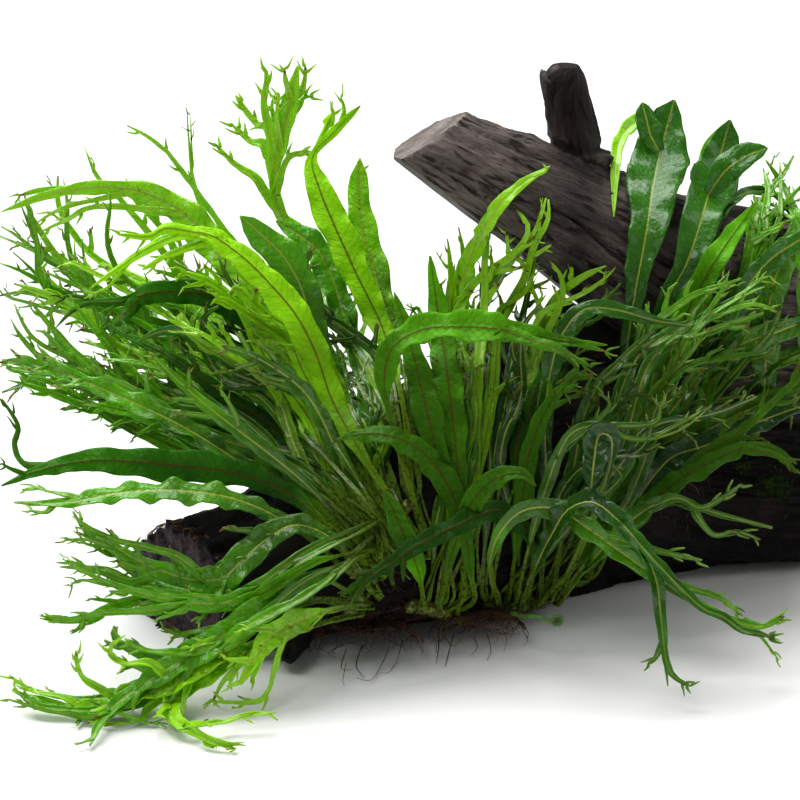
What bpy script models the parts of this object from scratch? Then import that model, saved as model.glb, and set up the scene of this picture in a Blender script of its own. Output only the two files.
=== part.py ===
"""Java fern with fork-tipped fronds, growing on a forked piece of driftwood.

The wood lies on the flat of its lower arm, at z = 0. X runs to the right as the plant is seen from
the front, Y runs away to the back and Z is up. Sizes are millimetres, turned to metres in the meshes.

Routes are laid out on a front view: each point is (across, down, depth). Across and down are pixels
of the 800 x 800 front view, depth is the distance in millimetres behind the plane of its middle.
"""

import math

import bmesh
import bpy
import numpy as np
from mathutils import Vector
from mathutils.bvhtree import BVHTree
from mathutils.kdtree import KDTree

MM = 0.001
OBJECT_NAME = "java_fern_on_driftwood"

# The front view: a long lens that looks 20 degrees down on the plant.
VIEW_WIDTH = 400.0
VIEW_PIXELS = 800
VIEW_DISTANCE = 1200.0
VIEW_TILT = math.radians(20)
FLOOR_LINE = 105.0          # how far below the middle of the view the origin shows
MM_PER_PIXEL = VIEW_WIDTH / VIEW_PIXELS

GAP = 0.3                   # between pieces that touch
SWELL = 1.3 * GAP           # how much fatter a piece is made to cut its neighbour clear of it
FROND_THICKNESS = 1.0
STEM_WIDTH = 2.4
TIP_WIDTH = 2.0
FROND_STEPS = 12            # quads along one frond
FROND_LEAN = math.radians(10)   # how far the blades lean back from the front view
FROND_SWAY = math.radians(28)   # how far they turn to and fro along their length
FROND_CLEARANCE = 3.4       # depth kept between fronds that cross
WOOD_CLEARANCE = 2.2        # depth kept between a frond and what it grows on
FLOOR_CLEARANCE = 5.0       # depth kept between a frond and the floor, seen along the view

# Driftwood, lower arm: x, middle in y, half width, bottom, top.
LOWER_ARM = [
    (-158, -24, 26, -4, 40),
    (-112, -21, 31, -4, 53),
    (-75, -17, 37, -4, 68),
    (-20, -7, 43, -4, 110),
    (20, 3, 45, -4, 127),
    (60, 21, 43, -4, 135),
    (95, 43, 41, -4, 132),
    (122, 57, 39, -4, 112),
    (150, 71, 36, -2, 60),
    (200, 81, 36, -1, 46),
    (228, 83, 36, -1, 44),
]
# Driftwood, upper arm: x, middle in y, half width, bottom, top.
UPPER_ARM = [
    (-34, 45, 22, 240, 274),
    (-5, 47, 23, 219, 256),
    (22, 50, 25, 200, 243),
    (50, 54, 29, 179, 231),
    (81, 57, 34, 149, 218),
    (95, 59, 36, 134, 211),
    (120, 64, 39, 112, 202),
    (150, 70, 41, 92, 191),
    (200, 75, 41, 88, 182),
    (234, 76, 41, 88, 180),
]
# The wood that closes the back of the cleft between the arms: x, middle in y, half width, bottom, top.
CLEFT_BACK = [
    (112, 72, 22, 22, 118),
    (150, 82, 24, 20, 120),
    (200, 90, 24, 22, 112),
    (240, 92, 24, 24, 110),
]
# Broken branch on the upper arm: z, middle in x, middle in y, half width in x, half width in y.
STUB = [
    (186, 96, 64, 14, 13),
    (206, 91.5, 65, 12.5, 12),
    (224, 86, 66, 12, 11.5),
    (248, 80.5, 66, 10.8, 10.5),
    (257, 80, 66, 9.4, 9.2),
    (262, 80.6, 66, 6.6, 6.6),
    (263.6, 81, 66, 3.2, 3.2),
]
FORK_X = 95.0               # the arms part here
WOOD_END_X = 217.0          # sawn end of the stem
SAWN_ARM_POINT = (15, 50, 231)
SAWN_ARM_NORMAL = (-0.42, 0.08, 0.905)
SAWN_END_POINT = (-110, -23, 30)
SAWN_END_NORMAL = (-0.775, -0.637, 0.06)
KNOT_ROOT = ((-48, -42, 17), (-51, -58, 11), (-53, -69, 7))
KNOT_RADII = (8.5, 7.0, 4.6)

# Creeping stems: radius, then across and down; each lies on the wood.
RHIZOMES = {
    "rhizome_left": (3.4, [(346, 610), (366, 592), (377, 566), (386, 538), (396, 514), (410, 500)]),
    "rhizome_front": (3.6, [(404, 602), (422, 597), (444, 606), (462, 612)]),
    "rhizome_side": (3.4, [(480, 598), (500, 608), (520, 608), (540, 594), (562, 578)]),
    "rhizome_right": (3.2, [(598, 492), (622, 479), (660, 470), (700, 464)]),
}
# Lumps of matted roots at the foot of the wood: middle and half sizes.
ROOT_MATS = {
    "root_mat_left": ((-16, -53, 6), (27, 26, 9)),
    "root_mat_right": ((38, -43, 6), (24, 26, 9)),
}
FIDDLEHEAD_STALK = [(528, 622, -62), (538, 618, -66), (548, 616, -68), (556, 614, -68)]
FIDDLEHEAD_CURL_RADIUS = 3.0
FIDDLEHEAD_RADIUS = 1.1
FIDDLEHEAD_TURN = math.radians(30)   # from one point of the coil to the next
FIDDLEHEAD_TURNS = 10

# Fronds: blade width, where the blade starts along the route (0 to 1), route.
FRONDS = {
    # tall ones, upper left
    "frond_top_1": (9, 0.45, [(404, 492, -16), (398, 420, -4), (380, 330, 14), (342, 262, 26),
                              (309, 241, 30), (281, 216, 30), (274, 180, 28), (284, 130, 24),
                              (298, 66, 18)]),
    "frond_top_2": (17, 0.42, [(412, 494, -14), (404, 410, -14), (384, 332, -14), (357, 275, -12),
                               (329, 212, -6), (312, 160, 0), (332, 134, 2), (360, 106, 4)]),
    "frond_top_3": (12, 0.45, [(420, 490, -10), (410, 410, 8), (392, 335, 24), (374, 272, 36),
                               (360, 212, 42), (360, 158, 44)]),
    "frond_top_5": (16, 0.36, [(420, 540, -44), (372, 470, -52), (332, 400, -58), (308, 335, -62),
                               (270, 285, -64), (228, 247, -66), (188, 232, -68), (138, 256, -72),
                               (90, 289, -76)]),
    "frond_top_6": (12, 0.42, [(392, 505, -22), (330, 400, -8), (262, 300, 6), (200, 230, 12),
                               (160, 198, 14), (112, 188, 12), (60, 192, 8), (2, 212, 4)]),
    "frond_top_7": (14, 0.42, [(388, 512, -26), (318, 420, -20), (262, 330, -18), (205, 296, -20),
                               (160, 292, -22), (118, 302, -26), (80, 306, -30), (54, 330, -34)]),
    # left, finely cut
    "frond_left_1": (7, 0.4, [(380, 545, -48), (300, 480, -44), (210, 425, -42), (130, 392, -44),
                              (75, 352, -46), (30, 300, -46)]),
    "frond_left_2": (7, 0.4, [(372, 538, -42), (290, 455, -30), (190, 385, -24), (120, 350, -22),
                              (70, 305, -22), (14, 284, -22)]),
    "frond_left_3": (7, 0.4, [(380, 525, -34), (300, 425, -8), (210, 352, 4), (130, 312, 10), (66, 268, 14),
                              (24, 202, 16)]),
    "frond_left_5": (7, 0.4, [(372, 552, -50), (290, 500, -30), (200, 430, -8), (120, 395, 4),
                              (50, 380, 12), (2, 392, 16)]),
    "frond_left_6": (11, 0.45, [(364, 556, -54), (280, 490, -62), (190, 430, -66), (110, 392, -66),
                                (50, 368, -64), (2, 360, -62)]),
    "frond_left_7": (9, 0.45, [(384, 520, -30), (300, 430, -40), (230, 360, -44), (180, 330, -46),
                               (136, 342, -50)]),
    # two long wavy ones, left
    "frond_wavy_1": (12, 0.35, [(360, 560, -58), (300, 500, -72), (240, 474, -76), (180, 466, -78),
                                (125, 461, -80), (80, 462, -82), (36, 472, -84), (2, 486, -84)]),
    "frond_wavy_2": (10, 0.35, [(352, 575, -64), (300, 530, -80), (240, 500, -88), (180, 490, -92),
                                (120, 492, -94), (66, 502, -96), (14, 502, -96)]),
    # drooping, lower left
    "frond_low_1": (13, 0.3, [(372, 590, -60), (340, 545, -78), (298, 524, -88), (258, 545, -94),
                              (215, 580, -98), (150, 566, -102), (84, 526, -104)]),
    "frond_low_2": (8, 0.3, [(364, 600, -62), (320, 580, -84), (262, 590, -98), (210, 604, -106),
                             (130, 590, -110), (64, 562, -112)]),
    "frond_low_3": (13, 0.3, [(356, 606, -64), (312, 600, -84), (262, 622, -98), (210, 656, -108),
                              (152, 688, -112), (80, 708, -110), (12, 690, -104)]),
    "frond_low_4": (9, 0.3, [(366, 612, -62), (322, 622, -84), (270, 640, -98), (215, 668, -106),
                             (168, 704, -114), (206, 738, -128), (246, 745, -134)]),
    "frond_low_5": (9, 0.3, [(374, 606, -60), (340, 608, -84), (300, 620, -98), (268, 640, -108),
                             (240, 684, -114)]),
    "frond_low_6": (11, 0.35, [(382, 600, -58), (352, 570, -78), (318, 575, -90), (280, 596, -98),
                               (240, 625, -104), (120, 700, -112), (90, 745, -130)]),
    # centre
    "frond_centre_1": (15, 0.4, [(430, 560, -60), (402, 460, -72), (384, 380, -78), (402, 338, -80),
                                 (450, 328, -82), (508, 331, -84), (562, 341, -86), (607, 345, -88)]),
    "frond_centre_2": (14, 0.4, [(463, 600, -42), (463, 520, -50), (455, 440, -52), (446, 365, -50),
                                 (436, 300, -46), (430, 256, -44)]),
    "frond_centre_3": (14, 0.35, [(446, 600, -46), (448, 520, -60), (436, 450, -64), (424, 400, -64),
                                  (412, 350, -62), (394, 292, -58)]),
    "frond_centre_4": (11, 0.42, [(470, 590, -38), (466, 480, -36), (452, 380, -30), (460, 290, -26),
                                  (484, 228, -22), (514, 190, -20), (550, 166, -20)]),
    "frond_centre_9": (8, 0.45, [(492, 584, -30), (512, 480, -30), (528, 380, -26), (548, 310, -22),
                                 (584, 276, -20), (606, 266, -20)]),
    "frond_centre_10": (10, 0.4, [(508, 600, -30), (520, 520, -50), (530, 450, -62), (552, 400, -68),
                                  (586, 370, -70)]),
    "frond_centre_12": (14, 0.35, [(474, 600, -42), (464, 530, -62), (444, 480, -72), (412, 445, -78),
                                   (372, 434, -80), (336, 440, -80)]),
    "frond_centre_14": (11, 0.3, [(526, 598, -26), (532, 545, -52), (502, 511, -72), (456, 526, -84),
                                  (415, 546, -92), (380, 570, -96), (340, 596, -98)]),
    "frond_centre_15": (13, 0.35, [(424, 604, -52), (418, 570, -72), (404, 535, -86), (384, 490, -92)]),
    # filling the left middle
    "frond_middle_3": (7, 0.4, [(428, 540, -40), (396, 430, -30), (358, 346, -10), (333, 314, 14),
                                (308, 280, 42), (300, 240, 48)]),
    "frond_middle_6": (13, 0.4, [(404, 516, -26), (356, 420, -30), (318, 335, -34), (290, 265, -38),
                                 (240, 216, -40)]),
    "frond_middle_7": (8, 0.45, [(396, 540, -46), (352, 470, -48), (302, 388, -44), (272, 340, -40),
                                 (262, 300, -38)]),
    "frond_middle_11": (13, 0.35, [(368, 570, -60), (310, 500, -58), (240, 456, -54), (172, 425, -52),
                                   (130, 412, -52), (92, 404, -52)]),
    # right
    "frond_right_1": (25, 0.42, [(604, 470, -12), (620, 400, -14), (632, 310, -10), (646, 233, -6),
                                 (656, 170, 0), (674, 100, 4)]),
    "frond_right_2": (21, 0.4, [(616, 468, -10), (640, 390, -2), (662, 310, 8), (687, 262, 12),
                                (706, 203, 16), (730, 120, 18)]),
    "frond_right_3": (15, 0.45, [(556, 592, -8), (612, 500, -22), (652, 400, -26), (690, 306, -24),
                                 (718, 256, -20), (758, 200, -14)]),
    "frond_right_4": (8, 0.4, [(628, 466, -6), (676, 350, 16), (706, 240, 24), (732, 200, 24),
                               (762, 190, 24), (782, 200, 22), (792, 218, 20)]),
    "frond_right_5": (16, 0.4, [(752, 440, 22), (764, 392, 18), (766, 330, 12), (774, 280, 10),
                                (796, 238, 10), (816, 190, 12)]),
    "frond_right_6": (12, 0.4, [(668, 462, 2), (712, 390, -4), (742, 300, -8), (768, 262, -8),
                                (800, 240, -6), (836, 222, -4)]),
    "frond_right_8": (9, 0.4, [(566, 588, -4), (628, 500, -36), (664, 400, -50), (690, 336, -54),
                               (724, 306, -54), (764, 286, -54)]),
    "frond_right_9": (10, 0.4, [(540, 600, -20), (546, 500, -52), (546, 400, -66), (564, 330, -70),
                                (598, 304, -70), (632, 316, -70), (688, 326, -70)]),
    "frond_right_11": (10, 0.35, [(592, 578, 0), (640, 500, -10), (690, 440, -8), (760, 402, 2),
                                  (820, 378, 4), (862, 360, 8)]),
    "frond_right_12": (13, 0.35, [(582, 584, -2), (624, 520, -30), (668, 460, -32), (714, 443, -28),
                                  (762, 420, -20), (830, 396, -8)]),
    "frond_right_13": (12, 0.35, [(536, 606, -22), (590, 552, -40), (636, 516, -46), (684, 477, -46),
                                  (748, 446, -40), (776, 450, -36), (796, 464, -34)]),
    "frond_right_15": (14, 0.35, [(680, 460, 4), (706, 400, -12), (730, 352, -18), (772, 334, -18),
                                  (826, 314, -16)]),
    "frond_right_18": (11, 0.3, [(500, 608, -34), (490, 560, -64), (510, 520, -80), (546, 506, -88),
                                 (590, 530, -92), (640, 566, -94), (700, 604, -94), (780, 640, -92)]),
    "frond_right_19": (12, 0.3, [(520, 608, -26), (548, 540, -76), (580, 500, -100), (618, 520, -106),
                                 (652, 566, -106), (662, 630, -104), (668, 686, -104)]),
    "frond_right_20": (9, 0.3, [(556, 604, -6), (620, 530, -56), (668, 500, -64), (710, 512, -66),
                                (772, 528, -66)]),
}

# The brightest and the darkest fronds; the rest are a middle green.
BRIGHT_FRONDS = [
    "frond_top_1", "frond_top_3", "frond_top_5", "frond_top_6", "frond_low_2", "frond_low_3",
    "frond_low_4", "frond_low_5", "frond_left_2", "frond_left_3", "frond_centre_1", "frond_centre_4",
    "frond_centre_9", "frond_right_3", "frond_right_5", "frond_right_20", "frond_middle_3",
]
DARK_FRONDS = [
    "frond_top_7", "frond_wavy_1", "frond_left_5", "frond_left_7", "frond_centre_10", "frond_centre_14",
    "frond_right_2", "frond_right_4", "frond_right_6", "frond_right_9", "frond_right_12",
    "frond_right_19",
]

# How the fronds are kept clear of each other.
STATIONS = 61               # points along a frond's middle line
BASE_BEND = 8.0             # stations over which a stem bends to meet its rhizome
BLADE_SPACING = 3.0         # millimetres between the points that stand for a blade
NEAR_POINTS = 2.6           # points of two fronds this close in the front view are kept apart
SETTLE_ROUNDS = 260
SETTLE_STEP = 0.35          # share of the missing clearance that one round makes up
PUSH_REACH = 6              # stations on each side that a push carries along
PUSH_SPREAD = 3.0
LEAD_LIMIT = 9.0            # millimetres; a crossing counts no more than this in which frond lies in front

# How fine the pieces are.
RING_SIDES = 22             # points round an arm of the wood
LOWER_RINGS = 23
UPPER_RINGS = 17
CLEFT_RINGS = 7
STUB_SIDES = 14
RHIZOME_POINTS = 9
RHIZOME_SIDES = 7
FIDDLEHEAD_SIDES = 6
KNOT_SIDES = 8


def view_to_world(across, up, depth):
    """A point of the front view, in millimetres from its middle, to its place in millimetres."""
    spread = 1 + depth / VIEW_DISTANCE
    sine, cosine = math.sin(VIEW_TILT), math.cos(VIEW_TILT)
    y = (FLOOR_LINE + up * spread) * sine + depth * cosine
    z = (FLOOR_LINE + up * spread) * cosine - depth * sine
    return Vector((across * spread, y, z))


def from_pixels(pixel_across, pixel_down):
    middle = VIEW_PIXELS / 2
    return (pixel_across - middle) * MM_PER_PIXEL, (middle - pixel_down) * MM_PER_PIXEL


def floor_depth(up):
    """Depth at which the sight line through this height of the view meets the floor."""
    sine, cosine = math.sin(VIEW_TILT), math.cos(VIEW_TILT)
    fall = sine - cosine * up / VIEW_DISTANCE
    return (FLOOR_LINE + up) * cosine / fall if fall > 0 else math.inf


def smooth_route(points, count):
    """Evenly spaced points along a smooth curve through the given ones."""
    knots = np.array([points[0], *points, points[-1]], dtype=float)
    dense = []
    for first, start, end, last in zip(knots, knots[1:], knots[2:], knots[3:]):
        for t in np.linspace(0, 1, 16, endpoint=False):
            bend = 2 * first - 5 * start + 4 * end - last
            turn = -first + 3 * start - 3 * end + last
            dense.append(0.5 * (2 * start + (end - first) * t + bend * t**2 + turn * t**3))
    dense.append(knots[-1])
    dense = np.array(dense)
    reach = np.concatenate([[0], np.cumsum(np.linalg.norm(np.diff(dense, axis=0), axis=1))])
    stops = np.linspace(0, reach[-1], count)
    return np.stack([np.interp(stops, reach, column) for column in dense.T], axis=1)


def new_material(name, colour, roughness):
    material = bpy.data.materials.new(name)
    material.use_nodes = True
    shader = material.node_tree.nodes["Principled BSDF"]
    shader.inputs["Base Color"].default_value = (*colour, 1)
    shader.inputs["Roughness"].default_value = roughness
    shader.inputs["Metallic"].default_value = 0
    material.diffuse_color = (*colour, 1)
    return material


def add_object(name, mesh, collection, material=None):
    piece = bpy.data.objects.new(name, mesh)
    collection.objects.link(piece)
    if material:
        piece.data.materials.append(material)
    return piece


def mesh_from(name, build):
    """A mesh made by a function that fills a bmesh, given in millimetres."""
    form = bmesh.new()
    build(form)
    bmesh.ops.recalc_face_normals(form, faces=form.faces)
    bmesh.ops.scale(form, vec=(MM, MM, MM), verts=form.verts)
    mesh = bpy.data.meshes.new(name)
    form.to_mesh(mesh)
    form.free()
    return mesh


def loft(form, rings):
    """Joins rings of points, each with as many, and closes both ends."""
    loops = [[form.verts.new(point) for point in ring] for ring in rings]
    for near, far in zip(loops, loops[1:]):
        for i in range(len(near)):
            j = (i + 1) % len(near)
            form.faces.new((near[i], near[j], far[j], far[i]))
    form.faces.new(loops[0])
    form.faces.new(loops[-1])


def branch_ring(section, swell):
    """One ring round a branch: an egg, wider below, with the low ridges of weathered wood."""
    x, middle_y, half_width, bottom, top = section
    middle_z, half_height = (bottom + top) / 2, (top - bottom) / 2
    ring = []
    for turn in np.linspace(0, 2 * math.pi, RING_SIDES, endpoint=False):
        ridge = 1 + 0.035 * math.sin(4 * turn + x / 38) + 0.025 * math.sin(7 * turn - x / 29)
        width = (half_width * ridge + swell) * (1 - 0.16 * math.sin(turn))
        height = half_height * ridge + swell
        ring.append((x, middle_y + width * math.cos(turn), middle_z + height * math.sin(turn)))
    return ring


def branch_mesh(name, sections, ring_count, swell=0.0):
    stations = np.array(sections, dtype=float)
    places = np.linspace(stations[0][0], stations[-1][0], ring_count)
    dense = smooth_route(sections, 400)
    smooth = [np.interp(places, dense[:, 0], dense[:, column]) for column in range(1, 5)]
    rings = [branch_ring((x, *values), swell) for x, *values in zip(places, *smooth)]
    return mesh_from(name, lambda form: loft(form, rings))


def stub_mesh(name):
    rings = []
    for z, middle_x, middle_y, half_x, half_y in STUB:
        turns = np.linspace(0, 2 * math.pi, STUB_SIDES, endpoint=False)
        ridges = 1 + 0.06 * np.sin(5 * turns + 0.4)
        rings.append([(middle_x + half_x * r * math.cos(t), middle_y + half_y * r * math.sin(t), z)
                      for t, r in zip(turns, ridges)])
    return mesh_from(name, lambda form: loft(form, rings))


def tube_mesh(name, points, radii, sides):
    """A closed tube along points, with a radius at each."""
    points = [Vector(point) for point in points]
    rings = []
    side = None
    for i, point in enumerate(points):
        ahead = (points[min(i + 1, len(points) - 1)] - points[max(i - 1, 0)]).normalized()
        side = (ahead.orthogonal() if side is None else side - ahead * side.dot(ahead)).normalized()
        over = ahead.cross(side)
        turns = np.linspace(0, 2 * math.pi, sides, endpoint=False)
        rings.append([point + (side * math.cos(t) + over * math.sin(t)) * radii[i] for t in turns])
    return mesh_from(name, lambda form: loft(form, rings))


def box_mesh(name, low, high):
    def build(form):
        bmesh.ops.create_cube(form, size=1)
        low_corner, high_corner = Vector(low), Vector(high)
        for vert in form.verts:
            share = vert.co + Vector((0.5, 0.5, 0.5))
            vert.co = [a + (b - a) * t for a, b, t in zip(low_corner, high_corner, share)]
    return mesh_from(name, build)


def slab_mesh(name, point, normal, size=160.0):
    """A block whose face goes through a point and which lies on the side that the normal points to."""
    def build(form):
        bmesh.ops.create_cube(form, size=size)
        turn = Vector(normal).to_track_quat("Z", "Y").to_matrix()
        for vert in form.verts:
            vert.co = turn @ (vert.co + Vector((0, 0, size / 2))) + Vector(point)
    return mesh_from(name, build)


def cut(piece, operation, cutter, solver="EXACT"):
    step = piece.modifiers.new(cutter.name, "BOOLEAN")
    step.operation = operation
    step.solver = solver
    step.object = cutter


def evaluated_tree(pieces):
    """One search tree over the finished surfaces of some pieces, in millimetres."""
    bpy.context.view_layer.update()
    graph = bpy.context.evaluated_depsgraph_get()
    verts, faces = [], []
    for piece in pieces:
        mesh = piece.evaluated_get(graph).to_mesh()
        start = len(verts)
        verts += [piece.matrix_world @ vert.co / MM for vert in mesh.vertices]
        faces += [[start + index for index in face.vertices] for face in mesh.polygons]
    return BVHTree.FromPolygons(verts, faces)


def hit_depth(tree, across, up):
    """Depth at which the sight line through a point of the front view first meets a surface."""
    near = view_to_world(across, up, -VIEW_DISTANCE * 0.9)
    far = view_to_world(across, up, VIEW_DISTANCE)
    place, _, _, _ = tree.ray_cast(near, (far - near).normalized())
    if place is None:
        return math.inf
    return (place - near).length / (far - near).length * VIEW_DISTANCE * 1.9 - VIEW_DISTANCE * 0.9


def resting_point(tree, point, reach):
    """Moves a point out along the nearest surface's normal until it is this far from it."""
    place, normal, _, _ = tree.find_nearest(point)
    height = (point - place).dot(normal)
    return point + normal * (reach - height) if height < reach else point


class Build:
    """Holds the collections and materials while the pieces are made."""

    def __init__(self):
        self.parts = bpy.data.collections.new(OBJECT_NAME)
        self.cutters = bpy.data.collections.new("cutters")
        bpy.context.scene.collection.children.link(self.parts)
        bpy.context.scene.collection.children.link(self.cutters)
        self.wood = new_material("wet_driftwood", (0.035, 0.024, 0.020), 0.45)
        self.rhizome = new_material("rhizome", (0.10, 0.15, 0.02), 0.6)
        self.roots = new_material("matted_roots", (0.06, 0.025, 0.012), 0.8)
        self.bright = new_material("frond_bright", (0.16, 0.46, 0.02), 0.35)
        self.green = new_material("frond_green", (0.06, 0.30, 0.02), 0.35)
        self.dark = new_material("frond_dark", (0.02, 0.13, 0.02), 0.3)

    def cutter(self, name, mesh):
        helper = add_object(name, mesh, self.cutters)
        helper.hide_render = True
        helper.display_type = "WIRE"
        return helper

    def piece(self, name, mesh, material):
        return add_object(name, mesh, self.parts, material)

    def frond_material(self, name):
        if name in BRIGHT_FRONDS:
            return self.bright
        return self.dark if name in DARK_FRONDS else self.green


def make_wood(build):
    """The driftwood in its pieces: two arms, the stem they part from, a broken branch and a knot."""
    floor = build.cutter("floor_cut", box_mesh("floor_cut", (-250, -200, -40), (300, 250, 0)))
    left_box = box_mesh("left_room", (-300, -200, -60), (FORK_X - GAP / 2, 250, 400))
    left_room = build.cutter("left_room", left_box)
    right_box = box_mesh("right_room", (FORK_X + GAP / 2, -200, -60), (WOOD_END_X, 250, 400))
    right_room = build.cutter("right_room", right_box)
    sawn_arm = build.cutter("sawn_arm", slab_mesh("sawn_arm", SAWN_ARM_POINT, SAWN_ARM_NORMAL))
    sawn_end = build.cutter("sawn_end", slab_mesh("sawn_end", SAWN_END_POINT, SAWN_END_NORMAL))
    upper_whole = build.cutter("upper_whole", branch_mesh("upper_whole", UPPER_ARM, UPPER_RINGS))
    cleft_back = build.cutter("cleft_back", branch_mesh("cleft_back", CLEFT_BACK, CLEFT_RINGS))
    upper_swollen = build.cutter("upper_swollen", branch_mesh("upper_swollen", UPPER_ARM, UPPER_RINGS, SWELL))
    lower_swollen = build.cutter("lower_swollen", branch_mesh("lower_swollen", LOWER_ARM, LOWER_RINGS, SWELL))

    lower = build.piece("wood_lower_arm", branch_mesh("wood_lower_arm", LOWER_ARM, LOWER_RINGS), build.wood)
    for operation, cutter in (("INTERSECT", left_room), ("DIFFERENCE", floor), ("DIFFERENCE", sawn_end)):
        cut(lower, operation, cutter)
    upper = build.piece("wood_upper_arm", branch_mesh("wood_upper_arm", UPPER_ARM, UPPER_RINGS), build.wood)
    for operation, cutter in (("INTERSECT", left_room), ("DIFFERENCE", sawn_arm)):
        cut(upper, operation, cutter)
    stem = build.piece("wood_stem", branch_mesh("wood_stem", LOWER_ARM, LOWER_RINGS), build.wood)
    for operation, cutter in (("UNION", upper_whole), ("UNION", cleft_back),
                              ("INTERSECT", right_room), ("DIFFERENCE", floor)):
        cut(stem, operation, cutter, "MANIFOLD")
    stub = build.piece("wood_branch_stub", stub_mesh("wood_branch_stub"), build.wood)
    cut(stub, "DIFFERENCE", upper_swollen)
    knot_mesh = tube_mesh("wood_knot_root", KNOT_ROOT, KNOT_RADII, KNOT_SIDES)
    knot = build.piece("wood_knot_root", knot_mesh, build.wood)
    cut(knot, "DIFFERENCE", lower_swollen)
    return [lower, upper, stem, stub, knot], lower_swollen


def make_rhizomes(build, wood_tree):
    """Creeping stems that lie on the wood; depth is found where the sight line meets it."""
    pieces, swollen = [], []
    for name, (radius, route) in RHIZOMES.items():
        stops = smooth_route(route, RHIZOME_POINTS)
        depths = np.array([hit_depth(wood_tree, *from_pixels(*stop)) for stop in stops])
        met = np.isfinite(depths)
        depths = np.interp(np.arange(len(depths)), np.flatnonzero(met), depths[met])
        points = [view_to_world(*from_pixels(*stop), depth) for stop, depth in zip(stops, depths)]
        reach = radius + 3 * GAP
        for _ in range(6):
            points = [resting_point(wood_tree, point, reach) for point in points]
            inner = [(a + b * 2 + c) / 4 for a, b, c in zip(points, points[1:], points[2:])]
            points = [points[0], *inner, points[-1]]
            for point in points:
                point.z = max(point.z, 1.5 * reach)
        points = [resting_point(wood_tree, point, reach) for point in points]
        radii = [radius * (0.7 if i in (0, RHIZOME_POINTS - 1) else 1) for i in range(RHIZOME_POINTS)]
        pieces.append(build.piece(name, tube_mesh(name, points, radii, RHIZOME_SIDES), build.rhizome))
        room = [size + 2 * GAP for size in radii]
        room_mesh = tube_mesh(f"{name}_room", points, room, RHIZOME_SIDES)
        swollen.append(build.cutter(f"{name}_room", room_mesh))
    return pieces, swollen


def make_root_mats(build, cutters):
    """Low cushions of matted roots between the wood and the floor."""
    pieces = []
    for name, (middle, half_sizes) in ROOT_MATS.items():
        def fill(form):
            bmesh.ops.create_uvsphere(form, u_segments=14, v_segments=8, radius=1)
            for vert in form.verts:
                vert.co = [m + h * c for m, h, c in zip(middle, half_sizes, vert.co)]
        piece = build.piece(name, mesh_from(name, fill), build.roots)
        for cutter in cutters:
            cut(piece, "DIFFERENCE", cutter)
        pieces.append(piece)
    return pieces


def make_fiddlehead(build):
    """A young frond, still rolled up: a thin stalk that ends in a coil."""
    stalk = [view_to_world(*from_pixels(across, down), depth) for across, down, depth in FIDDLEHEAD_STALK]
    centre = stalk[-1] + Vector((1.2, 0, -FIDDLEHEAD_CURL_RADIUS))
    coil = []
    for step in range(1, FIDDLEHEAD_TURNS + 1):
        turn = math.pi / 2 - step * FIDDLEHEAD_TURN
        reach = FIDDLEHEAD_CURL_RADIUS * (1 - 0.028 * step)
        coil.append(centre + Vector((math.cos(turn) * reach, -0.12 * step, math.sin(turn) * reach)))
    points = [*stalk, *coil]
    radii = [FIDDLEHEAD_RADIUS] * len(points)
    return build.piece("fiddlehead", tube_mesh("fiddlehead", points, radii, FIDDLEHEAD_SIDES), build.bright)


def blade_width(share, width, start):
    """Width of a frond at a share of its length: thin stem, blade, tip."""
    points = [0, start, start + (1 - start) * 0.3, start + (1 - start) * 0.62, 1]
    sizes = [STEM_WIDTH, STEM_WIDTH * 1.1, width, width * 0.8, TIP_WIDTH]
    return np.interp(share, points, sizes)


class Frond:
    """One frond in the front view: its middle line, and how wide and how turned it is there."""

    def __init__(self, name, index):
        width, start, route = FRONDS[name]
        line = [(*from_pixels(across, down), depth) for across, down, depth in route]
        self.line = smooth_route(line, STATIONS)
        share = np.linspace(0, 1, STATIONS)
        self.half = blade_width(share, width, start) / 2
        ahead = np.gradient(self.line, axis=0)
        ahead /= np.linalg.norm(ahead, axis=1)[:, None]
        roll = FROND_LEAN + FROND_SWAY * np.sin(3.1 * share + 1.9 * index)
        facing = np.stack([np.zeros(STATIONS), np.sin(roll), -np.cos(roll)], axis=1)
        side = np.cross(ahead, facing)
        self.side = side / np.linalg.norm(side, axis=1)[:, None]

    def across_points(self):
        """Points spread over the blade, with the station that each belongs to."""
        points, owners = [], []
        for i, (middle, side, half) in enumerate(zip(self.line, self.side, self.half)):
            count = 2 * math.ceil(half / BLADE_SPACING) + 1
            for offset in np.linspace(-half, half, count):
                points.append(middle + side * offset)
                owners.append(i)
        return np.array(points), np.array(owners)


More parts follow.
